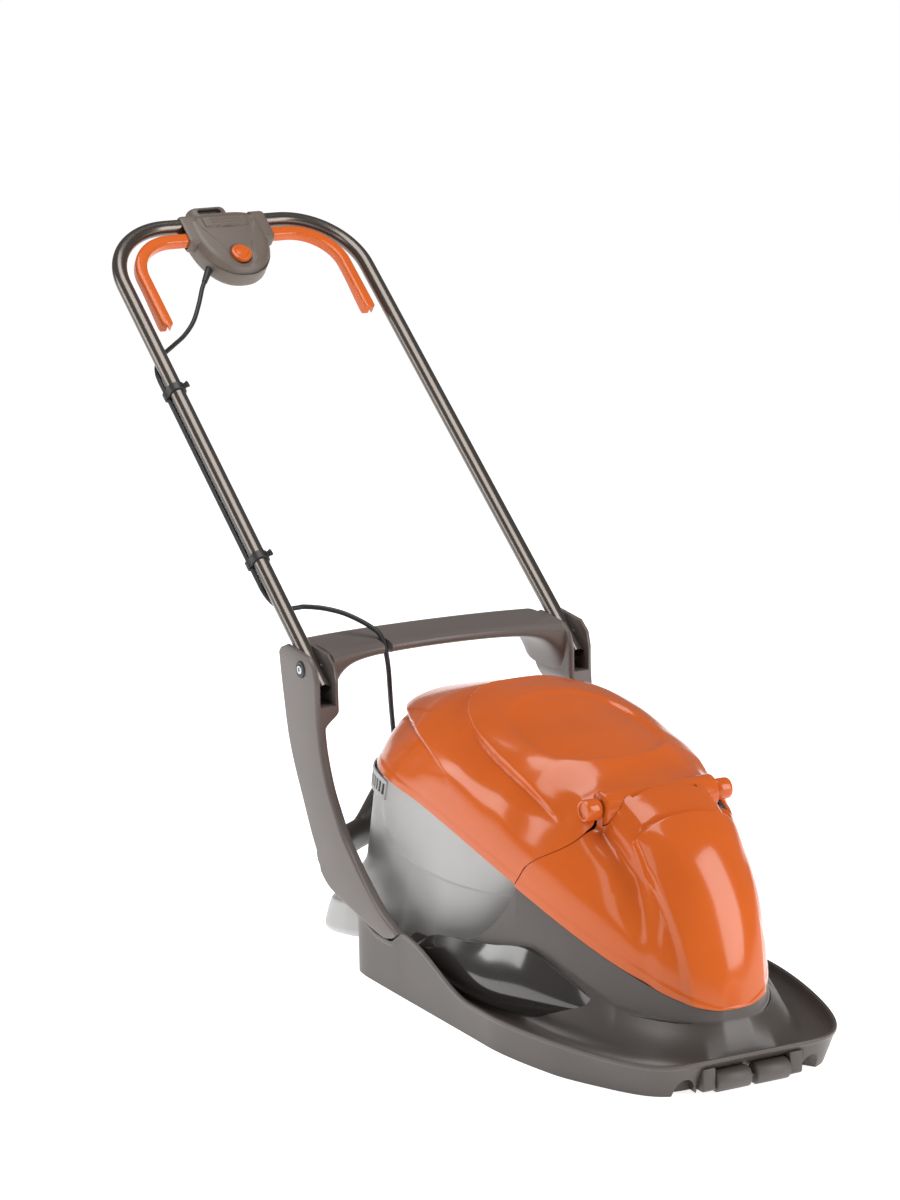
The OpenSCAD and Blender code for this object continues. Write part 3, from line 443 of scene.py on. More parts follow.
def arch_grid(ts, us, relief):
    """Rows of points of a cover, moved along the normal by relief(point, t, distance of u from the top)."""
    flat = np.array([[arch_point(t(u), u) for u in us] for t in ts])
    along = np.gradient(flat, axis=0)
    across = np.gradient(flat, axis=1)
    normal = np.cross(along, across)
    normal /= np.linalg.norm(normal, axis=2, keepdims=True) + 1e-9
    middle = normal[len(ts) // 2, len(us) // 2]
    if middle[2] < 0:
        normal = -normal
    for i, t in enumerate(ts):
        for j, u in enumerate(us):
            flat[i, j] += normal[i, j] * relief(flat[i, j].copy(), t(u), abs(u - 90))
    return flat


def cut_at(u):
    """Where the seam between cover and lid lies: it swings forward on the flanks."""
    side = abs(u - 90)
    return CUT_T - CUT_SWING * ease((side - 28) / 14) * ease((82 - side) / 34)


PANEL_W = 118
PANEL_REAR_Y = 176
PANEL_MID_Y = -60
PANEL_H = 13
PANEL_SUNK = 0.22
DISH_DEPTH = 6
DISH_Y = 8
DISH_HALF_X = 88
DISH_HALF_Y = 98
DISH_N = 2.4
LIFT_RISE = 5
# Upper edge of the sunk band over the seam: share of the top line, angle from the top
LIP_LINE = [(0.50, 90), (0.514, 78), (0.55, 67), (0.618, 61.5), (0.729, 54), (0.807, 43)]
LIP_REAR_T = 0.832
LIP_DEPTH = 10
BOSS_SWELL = 5
BOSS_X = 95
BOSS_Y = -138
FLANK_OUT = 4
FLANK_IN = 5
SEAM_BEAD = 0.6


def flank(side):
    """Share of a flank's form: full between the top and the seam."""
    return ease((side - 18) / 22) * ease((82 - side) / 22)


def seam_bead(side):
    """A thin bead along the seam."""
    return SEAM_BEAD * ease((side - 86.5) / 1.5)


def lid_relief(p, t, side):
    """Raised panel, lifted rear, round dish, band over the seam, swell under the bosses and flanks."""
    x = abs(p[0])
    y = p[1]
    q = max(0, min(1, (y - PANEL_MID_Y) / (PANEL_REAR_Y - PANEL_MID_Y)))
    half = PANEL_W * (1 - q ** 3) ** (1 / 3)
    inside = min(half - x, (PANEL_REAR_Y - y) * 0.9)
    fade = ease((y + 128) / 70)
    d = PANEL_H * fade * (ease((inside + 2) / 5.5) - PANEL_SUNK * ease((200 - y) / 60))
    d += LIFT_RISE * ease((y - 150) / 70) * ease((70 - side) / 40)
    from_dish = ((x / DISH_HALF_X) ** DISH_N + (abs(y - DISH_Y) / DISH_HALF_Y) ** DISH_N) ** (1 / DISH_N)
    depth = DISH_DEPTH * (0.35 + 0.65 * ease((100 - y) / 60)) * ease((y + 110) / 60)
    d -= depth * ease((1.0 - from_dish) / 0.10)
    below = max(0, min(1, (t - LIP_REAR_T) / (1 - LIP_REAR_T)))
    line = table(LIP_LINE, t)
    beside = max(0, min(1, (side - line) / max(90 - line, 1)))
    k = 1 - (1 - below) * (1 - beside)
    d -= LIP_DEPTH * ease((t - 0.52) / 0.22) * ease(k / 0.05) * (1 - k) ** 0.9
    d += BOSS_SWELL * math.exp(-((x - BOSS_X) / 16) ** 2 - ((y - BOSS_Y) / 24) ** 2)
    swell = FLANK_OUT * ease((y + 10) / 80) * ease((240 - y) / 90)
    d += flank(side) * (swell - FLANK_IN * ease((-20 - y) / 70))
    return d + seam_bead(side)


# Half width of the raised nose, and the middle of its side pockets, along the top line
NOSE_W = [(0.0, 40), (0.12, 52), (0.196, 63), (0.257, 72), (0.305, 71)]
POCKET_LINE = [(0.20, 76), (0.25, 80), (0.30, 87), (0.36, 90), (0.42, 90)]
NOSE_H = 8
NOSE_END_T = 0.307
COLLAR_H = 3.5
POCKET_DEPTH = 14
POCKET_HALF = 11


def cover_relief(p, t, side):
    """Raised nose, collar before the hinge, side pockets and flanks."""
    x = abs(p[0])
    inside = min(table(NOSE_W, t) - x, (NOSE_END_T - t) * 900)
    d = NOSE_H * ease((t - 0.06) / 0.16) * ease((inside + 2) / 8)
    collar = ease((t - 0.30) / 0.02) * ease((66 - x) / 14)
    d += COLLAR_H * collar * ease((CUT_T - t) / 0.01 + 0.4)
    pocket = math.exp(-((x - table(POCKET_LINE, t)) / POCKET_HALF) ** 2)
    d -= POCKET_DEPTH * pocket * ease((t - 0.19) / 0.09) * ease((0.425 - t) / 0.05)
    d -= FLANK_IN * ease((t - 0.12) / 0.14) * flank(side)
    return d + seam_bead(side)


SEAM_GAP_T = 0.0008
COVER_WALL = 3
COVER_US = steps(0, 180, 260)
HINGE = (0, HINGE_Y, HINGE_Z)
# Room round the hinge for the lid's rolled edge as it turns: half length, radius
HINGE_ROOM = [(46, 24.8), (78.5, 21.3)]
HINGE_SIDES = 72
BARREL_R = 20.5
BARREL_X = 77.5
# Boss with a sunk end: distance from the middle, radius
BOSS = [(80, 11.2), (82, 12.8), (88, 13.2), (97, 13.2), (100, 12.9), (101.3, 12), (101.5, 10.2), (100.9, 9.4),
        (99.2, 9), (98.8, 8.2), (98.6, 3), (98.6, 0.01)]


def lid_piece():
    ts = [lambda u, k=k: lerp(cut_at(u) + SEAM_GAP_T, 1, k) for k in steps(0, 1, 230)]
    shell = Shape().grid(arch_grid(ts, COVER_US, lid_relief))
    piece("lid_shell", shell, ORANGE, "lid", ("lid",), wall=COVER_WALL, smooth_angle=50)
    boss = Shape()
    for k in (-1, 1):
        boss.turned(BOSS, HINGE, (k, 0, 0), caps=False)
    piece("lid_hinge_bosses", boss, ORANGE, "lid", smooth_angle=35)
    end = [(BARREL_X, 0.01), (BARREL_X, BARREL_R - 2), (BARREL_X - 1, BARREL_R - 0.5),
           (BARREL_X - 2.5, BARREL_R)]
    profile = [(-d, r) for d, r in end] + end[::-1]
    barrel = Shape().turned(profile, HINGE, (1, 0, 0), HINGE_SIDES, caps=False)
    piece("lid_rolled_edge", barrel, ORANGE, "lid", smooth_angle=35)


def front_cover_piece():
    ts = [lambda u, k=k: (cut_at(u) - SEAM_GAP_T) * k for k in steps(0, 1, 200)]
    shell = Shape().grid(arch_grid(ts, COVER_US, cover_relief))
    rooms = [Shape().turned([(-x, r), (x, r)], HINGE, (1, 0, 0), HINGE_SIDES) for x, r in HINGE_ROOM]
    piece("nose_cover", shell, ORANGE, "base", ("front_cover",), wall=COVER_WALL,
          smooth_angle=50, cuts=rooms)


lid_piece()
front_cover_piece()

# Hood: one section carried round, its corners rounded
HOOD_HALF_W = 202
HOOD_MID_Y = -100
HOOD_FRONT_LEN = 268
HOOD_REAR_LEN = 344
HOOD_WALL = 3
HOOD_REAR_N = 22
HOOD_SECTIONS = 540
FRONT_DRAW = 0.335
FRONT_DRAW_N = 1.6
FRONT_BLUNT_N = 8
RIM_Z = 43
# Rises and falls of the rim towards the rear: height, y where it starts, run
RIM_RISES = [(42, -60, 165), (-19.5, 100, 38), (13, 165, 62)]
FLOOR_Z = 26
REAR_EDGE_Z = 30
DOME_END_Y = -70
DOME_LOW_Z = 64
DOME_FALL = 65
# How far the side wall leans in, and more of it at the front and behind the rollers
SIDE_IN = 4
FRONT_IN = 12
ROLLER_IN = 27
# Arched niches in the front wall beside the rollers
NICHE_X = 90
NICHE_HALF = 15
NICHE_H = 22
NICHE_DEPTH = 14
THIN = 0.05
SEAT_GAP = 0.3
# Height of the crease where the dome turns out into its apron, along y
CREASE = [(-330, 67), (-231, 74), (-171, 97), (-103, 116), (-41, 106), (15, 94), (74, 80), (124, 66),
          (160, 52)]


def reach(c, s, lo, hi, turns, half_width):
    """Distance from the hood's middle along (c, s) to an outline with half_width(y), by halving."""
    for _ in range(turns):
        r = (lo + hi) / 2
        if abs(r * c) > half_width(HOOD_MID_Y + r * s):
            hi = r
        else:
            lo = r
    return (lo + hi) / 2


def hood_front_w(y):
    """Half width of the hood's front: sides that draw in, and a blunt end."""
    q = min((HOOD_MID_Y - y) / HOOD_FRONT_LEN, 1)
    blunt = (1 - q ** FRONT_BLUNT_N) ** (1 / FRONT_BLUNT_N)
    return HOOD_HALF_W * (1 - FRONT_DRAW * q ** FRONT_DRAW_N) * blunt


def hood_rear_reach(c, s):
    """Distance from the hood's middle to its rear rim, which has tight corners."""
    n = HOOD_REAR_N
    return 1 / ((abs(c) / HOOD_HALF_W) ** n + (abs(s) / HOOD_REAR_LEN) ** n) ** (1 / n)


def hood_section(a):
    """Closed section of the hood at an angle: skirt, rim, apron, dome and the inner side."""
    c = math.cos(a)
    s = math.sin(a)
    rear = s > 0
    ro = hood_rear_reach(c, s) if rear else reach(c, s, 60, 420, 24, hood_front_w)
    side = abs(ro * c)
    yo = HOOD_MID_Y + ro * s
    zr = RIM_Z + sum(rise * ease((yo - start) / run) for rise, start, run in RIM_RISES)
    if rear:
        zr = lerp(REAR_EDGE_Z, zr, ease((side - 172) / 26))
    ri = min(reach(c, s, 100, 520, 18, body_w), ro - 40)
    yi = HOOD_MID_Y + ri * s
    flare = min(6 if rear else 6 + 18 * abs(s), ro - ri - 28)
    if yi < DOME_END_Y:
        zt = seam_z(yi) - SEAT_GAP
    else:
        top = lerp(DOME_LOW_Z, seam_z(DOME_END_Y) - SEAT_GAP, math.exp((DOME_END_Y - yi) / DOME_FALL))
        zt = lerp(REAR_EDGE_Z, top, ease((200 - yi) / 60))
    back = SIDE_IN
    arch = THIN
    if not rear:
        back += FRONT_IN * ease((-s - 0.55) / 0.35) + ROLLER_IN * ease((74 - side) / 10)
        arch += NICHE_H * math.sqrt(max(0, 1 - ((side - NICHE_X) / NICHE_HALF) ** 2))
    niche = THIN + NICHE_DEPTH * min(1, arch / 6)
    w = HOOD_WALL
    zc = max(min(table(CREASE, yi), zt - 5), FLOOR_Z + 3)
    foot = max(ri + flare + 6, lerp(ri + flare + 6, ro - 20, 0.45 * max(0, -s)))
    points = [(ro - back * (1 - arch / (zr - 6)), arch), (ro - 2.5, zr - 7), (ro - 0.2, zr - 4.5), (ro, zr),
              (ro - 4.5, zr), (ro - 9, lerp(zr, FLOOR_Z, 0.5)), (ro - 18, FLOOR_Z + 1), (foot, FLOOR_Z),
              (lerp(ri, foot, 0.62), lerp(FLOOR_Z, zc, 0.55)), (ri + 2.4, zc), (ri + 1, zc + 3.5), (ri, zt),
              (ri - w, zt), (ri - w, zc), (ri + flare - w, FLOOR_Z - w), (ro - back - w - niche, FLOOR_Z - w),
              (ro - back - w - niche, 0), (ro - back - niche, 0), (ro - back - niche, arch)]
    radii = [0.8, 2, 1, 1.5, 2, 4, 8, 14, 26, 2.5, 2.5, 1, 1, 6, 3, 1, 0.8, 0.8, 0.8]
    return [np.array([d * c, HOOD_MID_Y + d * s, z]) for d, z in fillet(points, radii)]


EAR_X = 51.5
EAR_T = 17
AXLE_Y = -360
ROLLER_R = 13
ROLLER_LEN = 47
ROLLER_Z = 13.5
EAR_SIDE = [(-368, 7.5), (-365, 4.5), (-355, 4.5), (-330, 4), (-330, 24), (-356, 34), (-366, 32)]


def hood_piece():
    rows = [hood_section(math.tau * i / HOOD_SECTIONS) for i in range(HOOD_SECTIONS)]
    shell = Shape().grid(rows, wrap_rows=True, wrap_cols=True)
    piece("hood_shell", shell, HOOD, "base", ("hood",), smooth_angle=60)
    ears = Shape()
    for k in (-1, 1):
        ears.loft([[(k * x, y, z) for y, z in EAR_SIDE] for x in (EAR_X, EAR_X + EAR_T)])
    piece("roller_ears", ears, HOOD, "base", bevel=1.2)


def roller_pieces():
    end = [(0, 0.01), (0, ROLLER_R - 3), (0.8, ROLLER_R - 1.2), (2.5, ROLLER_R)]
    rounded = end + [(ROLLER_LEN - d, r) for d, r in end[::-1]]
    for name, x in (("left", -50.5), ("right", 3.5)):
        roll = Shape().turned(rounded, (x, AXLE_Y, ROLLER_Z), (1, 0, 0), caps=False)
        piece("roller_" + name, roll, ROLLER, "roller_" + name, ("front_roller_" + name,))


hood_piece()
roller_pieces()

# Glossy leaves on the flanks: a ridge, a lower edge and a swelling between them
LEAF_RIDGE = line_of(
    (170, 124, 60), (165, 84, 82), (159, 15, 93), (154, -41, 104), (143, -103, 114), (129, -171, 93),
    (111, -226, 66))
LEAF_LOW = line_of(
    (171, 124, 54), (173, 92, 46), (174, 30, 36), (170, -45, 34), (154, -118, 38), (134, -178, 50),
    (111, -226, 64))
LEAF_SWELL = 17
LEAF_STEP = 4


def leaf_row(t):
    """Closed section of a leaf at t, from its rear tip (0) to its front tip (1)."""
    ridge = spline(LEAF_RIDGE, t)
    low = spline(LEAF_LOW, t)
    out = unit(np.array([ridge[0] + low[0], (ridge[1] + low[1] - 2 * HOOD_MID_Y) * 0.8, 0]))
    full = math.sin(math.pi * max(0.0, min(1.0, t))) ** 0.6
    row = [ridge - 7 * out, ridge + (0, 0, 1)]
    for k in steps(0, 1, 24):
        swell = LEAF_STEP * (1 - k) ** 3 + LEAF_SWELL * (1 - (1 - k) ** 1.9) * (1 - k ** 3.6)
        row.append(lerp(ridge, low, k) + out * full * swell)
    return row + [low - 9 * out]


def leaf_pieces():
    for name, k in (("left", -1), ("right", 1)):
        leaf = Shape().loft([[p * (k, 1, 1) for p in leaf_row(t)] for t in steps(0, 1, 90)])
        piece("leaf_" + name, leaf, GLOSS, "base", ("air_scoop_" + name,), smooth_angle=32)


leaf_pieces()

# Grass box: rings from the floor to the seam, with a stepped side
BOX_FRONT_TOP = -82
BOX_FRONT_LOW = 24
BOX_REAR_LOW = 389
BOX_HALF_W = 163
BOX_WALL = 2.5
BOX_FLOOR_FRONT = 68
BOX_FLOOR_REAR = 7
LID_SEAT = 0.9
TAIL_OUT = 19
TAIL_Y = 252
TAIL_K = 0.25
BOX_STEP = 2.2
BOX_STEP_LINE = [(-60, 152), (124, 152), (165, 156), (199, 163), (229, 185), (240, 205), (250, 400)]
BOX_TURN = [math.tau * i / 240 for i in range(240)]
FOOT_DRAW = 7
FOOT_K = 0.05


def box_point(a, k, inset):
    """Point of the box at angle a, k from the floor (0) to the seam (1), drawn in by inset."""
    c = math.cos(a)
    s = math.sin(a)
    n = lerp(8, 2.6, ease(k / 0.45)) if s > 0 else 3.4
    yf = lerp(BOX_FRONT_LOW, BOX_FRONT_TOP, k) + inset
    yr = lerp(BOX_REAR_LOW, BODY_MID_Y + BODY_REAR_LEN - 6, k) - inset
    ym = lerp(230, BODY_MID_Y, k)
    y = ym + (yr - ym if s > 0 else ym - yf) * power(s, 2 / n)
    w = min(lerp(BOX_HALF_W, BODY_HALF_W, k) - inset,
            body_w(y) - HOOD_WALL - 0.6 - inset + 14 * ease((y - 200) / 50))
    wr = lerp(BOX_HALF_W, BODY_HALF_W - 4, k) - inset
    tail = TAIL_OUT * ease((y - TAIL_Y) / 30) * ease((TAIL_K - k) / 0.06)
    x = math.copysign((wr + tail) * abs(c) ** (2 / n) if s > 0 else min(wr * abs(c) ** (2 / n), w), c)
    zl = lerp(BOX_FLOOR_FRONT, BOX_FLOOR_REAR, (y - BOX_FRONT_LOW) / (BOX_REAR_LOW - BOX_FRONT_LOW))
    return np.array([x, y, lerp(zl, seam_z(y) - LID_SEAT, k)])


def box_foot(k):
    """How far the rounded foot draws a ring in."""
    return FOOT_DRAW * (1 - min(k / FOOT_K, 1)) ** 2.2


def box_piece():
    outer = []
    inner = []
    for k in steps(0, FOOT_K, 8) + steps(0.06, 1, 90):
        foot = box_foot(k)
        row = []
        for a in BOX_TURN:
            p = box_point(a, k, foot)
            sunk = BOX_STEP * ease((table(BOX_STEP_LINE, p[1]) - p[2]) / 3) * ease((abs(p[0]) - 90) / 30)
            row.append(box_point(a, k, foot + sunk))
        outer.append(row)
        lift = (0, 0, 3 * (1 - k))
        inner.append([box_point(a, k, BOX_WALL + 2 + foot) + lift for a in BOX_TURN])
    shell = Shape().loft(outer + inner[::-1])
    piece("box_shell", shell, BOX, "base", ("grass_box",), smooth_angle=50)


VENT_LOW = 0.87
VENT_HIGH = 0.965
VENT_FROM = 9
VENT_TO = 171
VENT_RIBS = 46
# How far the black band of painted shade and the ribs stand out of the box, from a common foot
VENT_FOOT = 0.3
VENT_SHADE_BAND = 0.9
VENT_RIB = 2.2
RIB_HALF_DEG = 0.45
RAIL_HALF_K = 0.012
RAIL_PAST_DEG = 0.4


def vent_ring(corners, out):
    """Closed section on the box's wall: two corners (angle, k) with their feet."""
    (a0, k0), (a1, k1) = corners
    return [box_point(math.radians(a), k, -d) for a, k, d in (
        (a0, k0, VENT_FOOT), (a0, k0, out), (a1, k1, out), (a1, k1, VENT_FOOT))]


def vent_piece():
    along = steps(VENT_FROM, VENT_TO, 120)
    band = Shape().loft([vent_ring(((a, VENT_LOW), (a, VENT_HIGH)), VENT_SHADE_BAND) for a in along])
    # Painted shade: the black band stands for the shadowed openings between the ribs
    piece("vent_slot_shade", band, BLACK, "base", ("vent_grille",))
    ribs = Shape()
    for a in steps(VENT_FROM, VENT_TO, VENT_RIBS):
        up = steps(VENT_LOW, VENT_HIGH, 4)
        ribs.loft([vent_ring(((a - RIB_HALF_DEG, k), (a + RIB_HALF_DEG, k)), VENT_RIB) for k in up])
    along = steps(VENT_FROM - RAIL_PAST_DEG, VENT_TO + RAIL_PAST_DEG, 120)
    for k in (VENT_LOW, VENT_HIGH):
        ribs.loft([vent_ring(((a, k - RAIL_HALF_K), (a, k + RAIL_HALF_K)), VENT_RIB) for a in along])
    piece("vent_ribs", ribs, BOX, "base")


box_piece()
vent_piece()

# Yoke: two arms with a fork for the tube, and a bar between them
YOKE_OUT_X = 204
ARM_IN_X = 170
CHEEK_T = 6
CHANNEL_LOW_Z = PIVOT_Z - 42
# Edges of an arm as (y, z), from the fork down: front, rear, and under the foot from the knee on
ARM_FRONT = line_of(
    (322, 350), (321, 322), (318, 295), (311, 262), (295, 224), (276, 196), (254, 169), (230, 148),
    (198, 122), (160, 97), (116, 79))
ARM_REAR = line_of(
    (426, 372), (421, 345), (414, 315), (404, 275), (387, 234), (362, 190), (339, 150), (322, 125),
    (315, 106))
ARM_FOOT = line_of((315, 106), (290, 91), (231, 78), (160, 66), (135, 68), (122, 74))
ARM_TOP = [((344, 380), (404, 385)), ((328, 368), (421, 378))]
ARM_KNEE = 0.55
ARM_BLADE_X = 191
ARM_BLADE_Z = 312
ARM_EDGE = 6


def arm_ring(front, rear):
    """Section of an arm: as thick as its fork at the top, a thin blade below."""
    f = np.array(front, float)
    r = np.array(rear, float)
    across = np.linalg.norm(r - f)
    inner = lerp(ARM_IN_X, ARM_BLADE_X, ease((ARM_BLADE_Z - f[1]) / 22))
    edge = min(ARM_EDGE, across / 2.5, (YOKE_OUT_X - inner) * 0.4)
    square = [(inner, 0), (inner, across), (YOKE_OUT_X, across), (YOKE_OUT_X, 0)]
    corners = fillet(square, [edge] * 4, parts=5)
    d = (r - f) / across
    return [np.array([x, f[0] + d[0] * q, f[1] + d[1] * q]) for x, q in corners]


def arm_rows():
    pairs = list(ARM_TOP)
    for s in steps(0, 1, 90):
        if s < ARM_KNEE:
            rear = spline(ARM_REAR, s / ARM_KNEE)
        else:
            rear = spline(ARM_FOOT, (s - ARM_KNEE) / (1 - ARM_KNEE))
        pairs.append((spline(ARM_FRONT, s), rear))
    return [arm_ring(f, r) for f, r in pairs]


def arm_pieces():
    for name, k in (("left", -1), ("right", 1)):
        arm = Shape(lambda p: (k * p[0], p[1], p[2]))
        arm.loft(arm_rows())
        channel = Shape(arm.place).block((ARM_IN_X + CHEEK_T, PIVOT_Y - 120, CHANNEL_LOW_Z),
                                         (YOKE_OUT_X - CHEEK_T, PIVOT_Y + 120, PIVOT_Z + 80))
        piece("arm_" + name, arm, YOKE, "base", ("yoke_arm_" + name,), cuts=[channel],
              bevel=0.7, smooth_angle=35)
        foot = Shape(arm.place).block((ARM_IN_X + 6, 132, 28.3), (ARM_BLADE_X + 4, 162, 66))
        piece("arm_foot_" + name, foot, YOKE, "base", bevel=1)


BAR_FRONT_Y = 362
BAR_REAR_Y = 455
BAR_Z = 374
BAR_HALF_T = 9
BAR_STEPS = 120
GUSSET = 34
NOTCH_X = -80
NOTCH_Y = 374
NOTCH_R = 6
NOTCH_LOW_Z = 300
NOTCH_TOP_Z = 420
PIVOT_POCKET_R = 8


def bar_ring(x):
    """Section of the crossbar: thicker, lower and bowed forward at its ends, with a gusset below."""
    q = x / ARM_IN_X
    e = abs(q) ** 6
    yf = BAR_FRONT_Y - 27 * q * q
    yr = BAR_REAR_Y - 10 * q * q
    ym = (yf + yr) / 2
    half = (yr - yf) / 2
    t = BAR_HALF_T + 9 * e
    zc = BAR_Z - 8 * e
    row = []
    for i in range(48):
        a = math.tau * i / 48
        down = t + GUSSET * abs(q) ** 14 if math.sin(a) < 0 else t
        row.append((x, ym + half * power(math.cos(a), 0.55), zc + down * power(math.sin(a), 0.62)))
    return row


def crossbar_piece():
    bar = Shape().loft([bar_ring(x) for x in steps(-ARM_IN_X, ARM_IN_X, BAR_STEPS)])
    notch = Shape().turned([(NOTCH_LOW_Z, NOTCH_R), (NOTCH_TOP_Z, NOTCH_R)], (NOTCH_X, NOTCH_Y, 0), (0, 0, 1))
    mouth = Shape().block((NOTCH_X - NOTCH_R, NOTCH_Y - 40, NOTCH_LOW_Z),
                          (NOTCH_X + NOTCH_R, NOTCH_Y, NOTCH_TOP_Z))
    pockets = [Shape().turned([(0, PIVOT_POCKET_R), (20, PIVOT_POCKET_R)],
                              (k * (ARM_IN_X - 8), PIVOT_Y, PIVOT_Z), (k, 0, 0)) for k in (-1, 1)]
    piece("crossbar", bar, YOKE, "base", ("yoke_crossbar",), cuts=[notch, mouth] + pockets,
          smooth_angle=35)


# Ring, screw and six-sided nut at a pivot: distance out from the arm's face, radius. The black ring is
# painted shade for the recess round the screw head
PIVOT_SHADE_RING = [(0, 11), (1.2, 11), (2, 10.2), (2, 6.4), (0.6, 5.9)]
PIVOT_SCREW = [(-40, 4), (0, 4), (0, 5.8), (2.4, 5.8), (3.2, 5), (3.2, 2.8), (1, 2.5), (1, 0.01)]
PIVOT_NUT = [(-40, 0.01), (-40, 6.8), (-34, 6.8), (-34, 4)]


def pivot_pieces():
    screws = Shape()
    rings = Shape()
    for k in (-1, 1):
        at = (k * YOKE_OUT_X, PIVOT_Y, PIVOT_Z)
        rings.turned(PIVOT_SHADE_RING, at, (k, 0, 0), caps=False)
        screws.turned(PIVOT_SCREW, at, (k, 0, 0), caps=False)
        screws.turned(PIVOT_NUT, at, (k, 0, 0), 6, caps=False)
    piece("pivot_screws", screws, STEEL, "base", ("handle_pivot_bolts",))
    # Painted shade: the black ring stands where the recess round the screw lies in shadow
    piece("pivot_shade_rings", rings, BLACK, "base")


RAIL_ARC_R = 204
RAIL_ARC_Y = 216
RAIL_INTO_ARM = 22
RAIL_GLAND_Z = 181
RAIL_ARM_Z = 124
RAIL_HALF_W = 17
RAIL_HALF_H = 19


def rear_rail_piece():
    """A stout bar behind the box, low at the arms and risen under the cable's gland."""
    line = []
    for x in steps(-ARM_IN_X - RAIL_INTO_ARM, ARM_IN_X + RAIL_INTO_ARM, 80):
        bend = min(abs(x), ARM_IN_X)
        y = RAIL_ARC_Y + math.sqrt(RAIL_ARC_R ** 2 - bend ** 2)
        line.append((x, y, lerp(RAIL_GLAND_Z, RAIL_ARM_Z, ease((abs(x) - 30) / 76))))
    bar = Shape().sweep(line, ellipse(RAIL_HALF_W, RAIL_HALF_H, 32), (0, 0, 1))
    piece("rear_rail", bar, HOOD, "base", ("rear_bar",), smooth_angle=60)


arm_pieces()
crossbar_piece()
pivot_pieces()
rear_rail_piece()

# Handle end: switch box, button, levers and clips, in the handle's own frame
SB_HALF_W = 58
SB_MID_V = 772
SB_UP = 25
SB_BACK_UP = 32
SB_DOWN = 92
SB_FRONT_W = 14.5
SB_REAR_W = 27
TUBE_D = 21
GRIP_V = 782
LEVER_V = 755
LEVER_X = 42
BUTTON_V = 713
BUTTON_R = 14.6
BUTTON_FOOT = 8
INLET_X = -8
INLET_W = -13.5
INLET_HALF = 17


def sb_outline(angle, inset, up):
    """Outline of the switch box: squarer above the tube, a rounded shield below it."""
    c = math.cos(angle)
    s = math.sin(angle)
    n = 4 if s > 0 else 2.3
    return ((SB_HALF_W - inset) * power(c, 2 / n),
            SB_MID_V + ((up if s > 0 else SB_DOWN) - inset) * power(s, 2 / n))


def sb_face(x, v, inset):
    """Height of the shield's face: a crown with a sunk panel, ribs at the top and a dish round the button."""
    droop = 11 * max(0, (725 - v) / 45) ** 2 + 3 * (x / SB_HALF_W) ** 2
    w = SB_FRONT_W - min(droop, 12.5) - 11 * (1 - min(inset / 13, 1)) ** 2.6
    low = BUTTON_V - 3
    half = 20 + 25 * ease((v - low) / 78) if v > low else math.sqrt(max(0, 20 ** 2 - (v - low) ** 2))
    w -= 1.8 * ease((half - abs(x)) / 1.8)
    pad = ease((34 - abs(x)) / 1.5) * ease((v - 764 - (x / 33) ** 2 * 3) / 1.2) * ease((787 - v) / 2)
    w += pad * (2.4 + 0.7 * math.cos((v - 770) * math.tau / 5.6) * ease((25 - abs(x)) / 2))
    far = math.hypot(x, v - BUTTON_V)
    return w - 1.6 * ease((18 - far) / 3)


# Sunk edge of the shield: steps inwards
SB_EDGE = (0.4, 1, 1.8, 2.8, 4, 5.5, 7.5, 10, 13)
# Rounded back: height above its rearmost face, step inwards
SB_BACK = ((0, 16), (0.8, 11), (3, 5), (6, 1.6), (10, 0))
# Cuffs where the tube leaves: section as (v, w) with its corner radii, and (x, share of the section)
CUFF = [(-42, -13), (13, -14), (13, 12), (-42, 11)]
CUFF_RADII = [9, 11, 10, 8]
CUFF_RINGS = ((44, 1.0), (61, 1.0), (64, 0.96), (65, 0.9), (65, 0.84), (58, 0.82))
LEVER_HOLE_X = 52
FIT = 0.1
BUTTON_FIT = 0.3
BUTTON_WELL_W = 3


def switch_pieces():
    turn = [math.tau * i / 220 for i in range(220)]
    rows = [[(*sb_outline(a, 0, SB_UP), w) for a in turn] for w in steps(-FIT, SB_FRONT_W - 12.5, 3)]
    for inset in SB_EDGE:
        rows.append([(x, v, sb_face(x, v, inset)) for x, v in (sb_outline(a, inset, SB_UP) for a in turn)])
    edge = rows[-1]
    for k in steps(0.985, 0.02, 70):
        row = []
        for x, v, _ in edge:
            px = x * k
            pv = lerp(BUTTON_V + 20, v, k)
            row.append((px, pv, sb_face(px, pv, SB_EDGE[-1])))
        rows.append(row)
    front = Shape(from_handle).loft(rows)
    well_r = BUTTON_R + BUTTON_FIT
    well = Shape(from_handle).turned([(BUTTON_WELL_W, well_r), (70, well_r)], (0, BUTTON_V, 0), (0, 0, 1))
    bore_r = TUBE_D / 2 + FIT
    bore = Shape(from_handle).turned([(-100, bore_r), (100, bore_r)], (0, GRIP_V, 0), (1, 0, 0))
    lever_holes = [Shape(from_handle).block((x - 18, LEVER_V - 13, -9.5), (x + 18, LEVER_V + 13, 9.5))
                   for x in (-LEVER_HOLE_X, LEVER_HOLE_X)]
    piece("switch_shield", front, SWITCH, "handle", ("switch_box_front",),
          cuts=[well, bore] + lever_holes, smooth_angle=38)
    levels = [(up - SB_REAR_W, inset) for up, inset in SB_BACK] + [(-0.6, 0), (-FIT, 0.5)]
    rows = [[(*sb_outline(a, inset, SB_BACK_UP), w) for a in turn] for w, inset in levels]
    rear = Shape(from_handle).loft(rows)
    piece("switch_back", rear, SWITCH, "handle", ("switch_box_rear",),
          cuts=[bore] + lever_holes, smooth_angle=38)
    cuffs = Shape(from_handle)
    loop = fillet(CUFF, CUFF_RADII, parts=6)
    for k in (-1, 1):
        rows = [[(k * x, GRIP_V + p * g - 12 * (1 - g), q * g) for p, q in loop] for x, g in CUFF_RINGS]
        cuffs.grid(rows, wrap_cols=True, cap_first=True)
    piece("switch_cuffs", cuffs, SWITCH, "handle", smooth_angle=38)
